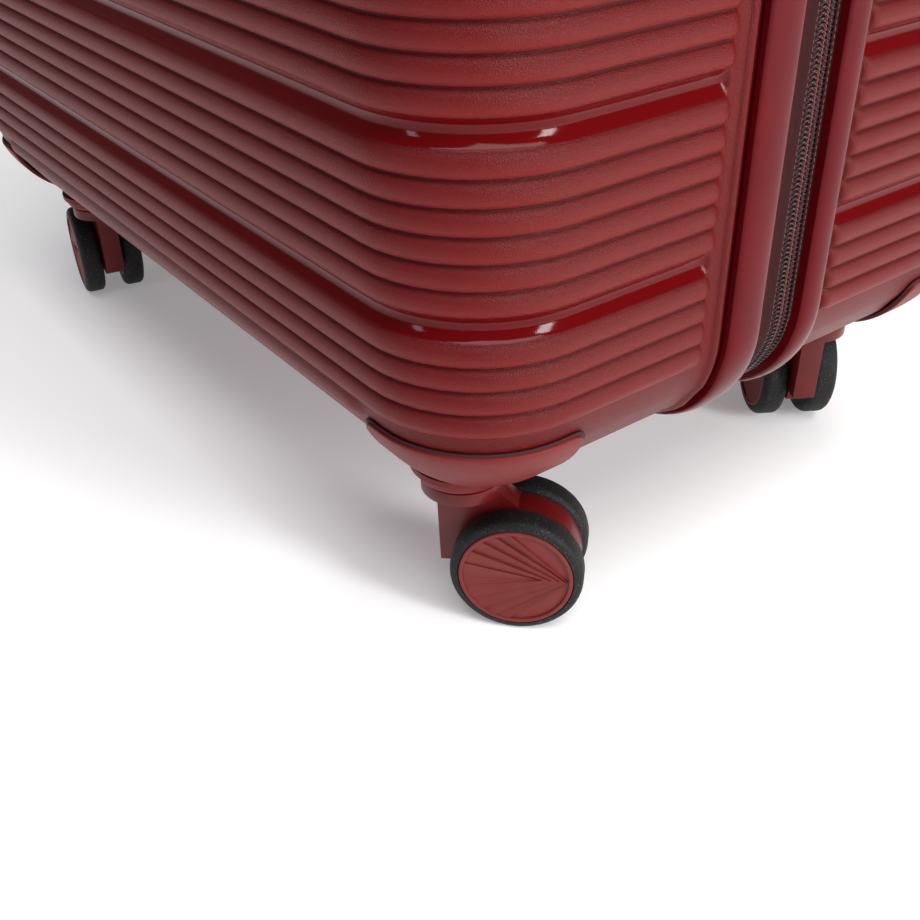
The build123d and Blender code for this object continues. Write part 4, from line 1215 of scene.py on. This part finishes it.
tree.links.new(bump.outputs[0], shader.inputs["Normal"])
tint = add_node(tree, "ShaderNodeMath", {0: weave.outputs[0], 1: 0.5, 2: 0.5}, operation="MULTIPLY_ADD")
shade = add_node(tree, "ShaderNodeMix", {0: tint.outputs[0], 6: linear("#2C0A0C"), 7: linear("#5C181B")},
                 data_type="RGBA")
tree.links.new(shade.outputs[2], shader.inputs["Base Color"])


def grid_faces(columns, rows, start=0):
    """Quads over a grid of points kept column by column."""
    corners_of = [(start + i * rows + j, start + (i + 1) * rows + j)
                  for i in range(columns - 1) for j in range(rows - 1)]
    return [(a, b, b + 1, a + 1) for a, b in corners_of]


hinge_x = -half_width + 2.9
hinge_span = bead_y[1] - bead_y[-1]
pucker_depth, pucker_turn = 0.36, 0.11
hinge_lines = [bead_y[-1] + hinge_span * step / 16 for step in range(17)]
hinge_rows = [hinge_low + (hinge_high - hinge_low) * step / 60 for step in range(61)]
points = []
for z in hinge_rows:
    for y in hinge_lines:
        across = (y - bead_y[-1]) / hinge_span
        points.append((hinge_x + pucker_depth * sin(pi * across) * sin(z * pucker_turn), y, z))
gusset = mesh_object("fabric_hinge", points, grid_faces(len(hinge_rows), len(hinge_lines)), hinge_cloth)
tidy_mesh(gusset)
thicken(gusset, 0.9, offset=0)
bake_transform(gusset)
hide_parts("hinge_gusset")

# ---- Linings ----------------------------------------------------------------------------
# Light polyester lining is glued round the inside of both halves and closes off the trolley
# tubes; it lies in soft shallow creases.
# plain-weave polyester: pale grey, a soft sheen, threads 0.4 mm apart
lining_cloth, tree, shader = new_material("plain_weave_polyester_lining", "#6E6A68", 0.75, Sheen_Weight=0.35)
coords = add_node(tree, "ShaderNodeTexCoord").outputs["Object"]
threads = add_node(tree, "ShaderNodeTexNoise", {"Vector": coords, "Scale": 1800.0, "Detail": 2.0})
drift = add_node(tree, "ShaderNodeTexNoise", {"Vector": coords, "Scale": 14.0, "Detail": 3.0})
shade = add_node(tree, "ShaderNodeMix", {0: drift.outputs["Fac"], 6: linear("#615D5C"), 7: linear("#7A7674")},
                 data_type="RGBA")
tree.links.new(shade.outputs[2], shader.inputs["Base Color"])
bump = add_node(tree, "ShaderNodeBump", {"Height": threads.outputs["Fac"], "Strength": 0.5,
                                         "Distance": 0.0002})
tree.links.new(bump.outputs[0], shader.inputs["Normal"])


def crease_tree():
    """Soft creases: points move along their normals by two scales of noise."""
    tree, given, result = new_geometry_tree("soft_creases")
    tree_input(tree, "Depth", "NodeSocketFloat", 0.001)
    tree_input(tree, "Scale", "NodeSocketFloat", 12.0)
    tree_input(tree, "Material", "NodeSocketMaterial", None)
    noise = add_node(tree, "ShaderNodeTexNoise", {"Scale": given.outputs["Scale"], "Detail": 2.0})
    centred = add_node(tree, "ShaderNodeMath", {0: noise.outputs["Fac"], 1: 0.5}, operation="SUBTRACT")
    rise = add_node(tree, "ShaderNodeMath", {0: centred.outputs[0], 1: given.outputs["Depth"]},
                    operation="MULTIPLY")
    push = add_node(tree, "ShaderNodeVectorMath", operation="SCALE",
                    inputs={0: add_node(tree, "GeometryNodeInputNormal").outputs[0],
                            "Scale": rise.outputs[0]})
    moved = add_node(tree, "GeometryNodeSetPosition", {"Geometry": given.outputs["Geometry"],
                                                       "Offset": push.outputs[0]})
    solid = add_node(tree, "GeometryNodeRealizeInstances", {"Geometry": moved.outputs[0]})
    finish = add_node(tree, "GeometryNodeSetMaterial",
                      {"Geometry": solid.outputs[0], "Material": given.outputs["Material"]})
    tree.links.new(finish.outputs[0], result.inputs[0])
    return tree


lining_in = -6.8
creases = crease_tree()

# front half: one tub that follows the shell, with a cut round the lock
xs = [inner_x - (2 * inner_x) * step / 24 for step in range(25)]
tub_start = bead_far_y[-1] + 1
tub_run = face_y - round_radius + tub_start
ys = [tub_start - tub_run * step / 6 for step in range(7)]
columns = wall_columns(-1, ys, 8, xs)
levels = [mid_z - 284 + 568 * step / 36 for step in range(37)]
rows = wall_rows([0.0] + [pi / 2 * step / 7 for step in range(1, 8)], levels)
points = [skin_point(column, row, lining_in) for column in columns for row in rows]
faces = grid_faces(len(columns), len(rows))
for sign in (-1, 1):
    start = len(points)
    flat_z = (bottom_z if sign < 0 else top_z) - sign * -lining_in
    points += [(x, y, flat_z) for x in xs for y in ys]
    faces += grid_faces(len(xs), len(ys), start)
lock_low, lock_high = (Vector(c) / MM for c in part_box("lock_body"))
kept = []
for face in faces:
    middle = [sum(points[k][axis] for k in face) / 4 for axis in range(3)]
    if not (middle[0] > 200 and lock_low.y - 9 < middle[1] < lock_high.y + 9
            and lock_low.z - 9 < middle[2] < lock_high.z + 9):
        kept.append(face)
front_cloth = mesh_object("front_cloth_lining", points, kept, lining_cloth)
tidy_mesh(front_cloth)
run_tree(front_cloth, creases, depth=0.0035, scale=16.0, material=lining_cloth)
thicken(front_cloth, 0.6, offset=0)
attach(front_cloth, "front_lid")
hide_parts("front_lining")

# rear half: upright walls with a cut behind each handle's bowl, and a flat back panel in front
# of the trolley tubes, laid out in rings that shrink to its middle
path = outline_path(lining_in, straight_step=12.0, arc_steps=8)[:-1]
back_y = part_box("rear_lining")[1][1] / MM - 1.0
wall_rings, back_rings = 8, 14
tub_start = bead_far_y[1] - 0.5
wall_ys = [tub_start + (back_y - tub_start) * step / (wall_rings - 1) for step in range(wall_rings)]
points = [(x, y, z) for x, z, _, _, _ in path for y in wall_ys]
count = len(path)
faces = []
for i in range(count):
    for j in range(wall_rings - 1):
        a, b = i * wall_rings + j, (i + 1) % count * wall_rings + j
        x, y, z = ((points[a][axis] + points[b + 1][axis]) / 2 for axis in range(3))
        side_cut = x > 200 and abs(z - mid_z) < 74 and 33 < y < 91
        top_cut = z > 700 and abs(x) < 76 and 31 < y < 89
        if not side_cut and not top_cut:
            faces.append((a, b, b + 1, a + 1))
start = len(points)
for ring in range(back_rings):
    share = 1 - ring / back_rings
    points += [(x * share, back_y, mid_z + (z - mid_z) * share) for x, z, _, _, _ in path]
points.append((0, back_y, mid_z))
for ring in range(back_rings - 1):
    for i in range(count):
        a, b = start + ring * count + i, start + ring * count + (i + 1) % count
        faces.append((a, b, b + count, a + count))
last = start + (back_rings - 1) * count
faces += [(last + i, last + (i + 1) % count, len(points) - 1) for i in range(count)]
rear_cloth = mesh_object("rear_cloth_lining", points, faces, lining_cloth)
tidy_mesh(rear_cloth)
run_tree(rear_cloth, creases, depth=0.003, scale=16.0, material=lining_cloth)
thicken(rear_cloth, 0.6, offset=0)
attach(rear_cloth, "rear_case")
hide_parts("rear_lining")

# ---- Packing straps ---------------------------------------------------------------------
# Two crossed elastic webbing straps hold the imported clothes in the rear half, with a buckle.
# elastic webbing: dark grey, ribbed across at 1.2 mm
webbing, tree, shader = new_material("ribbed_elastic_webbing", "#2A2728", 0.8, Sheen_Weight=0.3)
coords = add_node(tree, "ShaderNodeTexCoord").outputs["Object"]
spot = add_node(tree, "ShaderNodeSeparateXYZ", {"Vector": coords})
turns = add_node(tree, "ShaderNodeMath", {0: spot.outputs["Z"], 1: 2 * pi / 0.0012}, operation="MULTIPLY")
rib_wave = add_node(tree, "ShaderNodeMath", {0: turns.outputs[0]}, operation="SINE")
bump = add_node(tree, "ShaderNodeBump", {"Height": rib_wave.outputs[0], "Strength": 0.7, "Distance": 0.0003})
tree.links.new(bump.outputs[0], shader.inputs["Normal"])
tint = add_node(tree, "ShaderNodeMath", {0: rib_wave.outputs[0], 1: 0.5, 2: 0.5}, operation="MULTIPLY_ADD")
shade = add_node(tree, "ShaderNodeMix", {0: tint.outputs[0], 6: linear("#1E1C1D"), 7: linear("#363233")},
                 data_type="RGBA")
tree.links.new(shade.outputs[2], shader.inputs["Base Color"])


def rounded_box(name, low, high, material, bevel):
    """A box between two corners with its edges rounded."""
    points = [(x, y, z) for x in (low[0], high[0]) for y in (low[1], high[1]) for z in (low[2], high[2])]
    faces = [(0, 1, 3, 2), (4, 6, 7, 5), (0, 4, 5, 1), (2, 3, 7, 6), (0, 2, 6, 4), (1, 5, 7, 3)]
    piece = mesh_object(name, points, faces, material)
    edge = piece.modifiers.new("edge", "BEVEL")
    edge.width = bevel * MM
    edge.segments = 3
    bake_modifiers(piece)
    piece.data.set_sharp_from_angle(angle=radians(40))
    return piece


strap_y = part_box("packing_straps")[1][1] / MM - 0.6
strap_half_width, strap_tilt, strap_steps = 12.5, radians(52), 40
corner_x, corner_z = inner_x, mid_z - bottom_z - round_radius
reach_along = corner_x * cos(strap_tilt) + corner_z * sin(strap_tilt)
reach_square = reach_along ** 2 - corner_x ** 2 - corner_z ** 2 + (round_radius + lining_in - 0.6) ** 2
strap_half_length = reach_along + sqrt(reach_square)
for name, sign in (("lower_packing_strap", 1), ("upper_packing_strap", -1)):
    points = []
    for step in range(strap_steps + 1):
        along = strap_half_length * (2 * step / strap_steps - 1)
        rise = (1.6 if sign < 0 else 0.0) * max(0.0, 1 - abs(along) / 90)
        for across in (-1, -0.5, 0, 0.5, 1):
            side_way = across * strap_half_width
            points.append((along * cos(strap_tilt) - side_way * sin(strap_tilt), strap_y - rise,
                           mid_z + sign * (along * sin(strap_tilt) + side_way * cos(strap_tilt))))
    strap = mesh_object(name, points, grid_faces(strap_steps + 1, 5), webbing)
    tidy_mesh(strap)
    thicken(strap, 1.2, offset=0, bevel=0.3)
    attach(strap, "rear_case")
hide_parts("packing_straps")
# side-release buckle: socket, plug, two side tongues, a ridge for the thumb and a backing plate
buckle_parts = [rounded_box("packing_buckle", (-26, strap_y - 6.5, mid_z - 16),
                            (6, strap_y - 1.8, mid_z + 16),
                            dial_pom, 1.8),
                rounded_box("part", (7, strap_y - 6.0, mid_z - 14), (26, strap_y - 2.0, mid_z + 14),
                            dial_pom, 1.5),
                rounded_box("part", (-6, strap_y - 5.6, mid_z - 18.5), (5, strap_y - 2.6, mid_z + 18.5),
                            dial_pom, 1.2),
                rounded_box("part", (-22, strap_y - 7.2, mid_z - 9), (-12, strap_y - 5.0, mid_z + 9),
                            dial_pom, 0.8),
                rounded_box("part", (-20, strap_y - 3.0, mid_z - 20), (20, strap_y + 1.5, mid_z + 20),
                            dial_pom, 1.2)]
buckle = join(buckle_parts)
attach(buckle, "rear_case")

low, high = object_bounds()
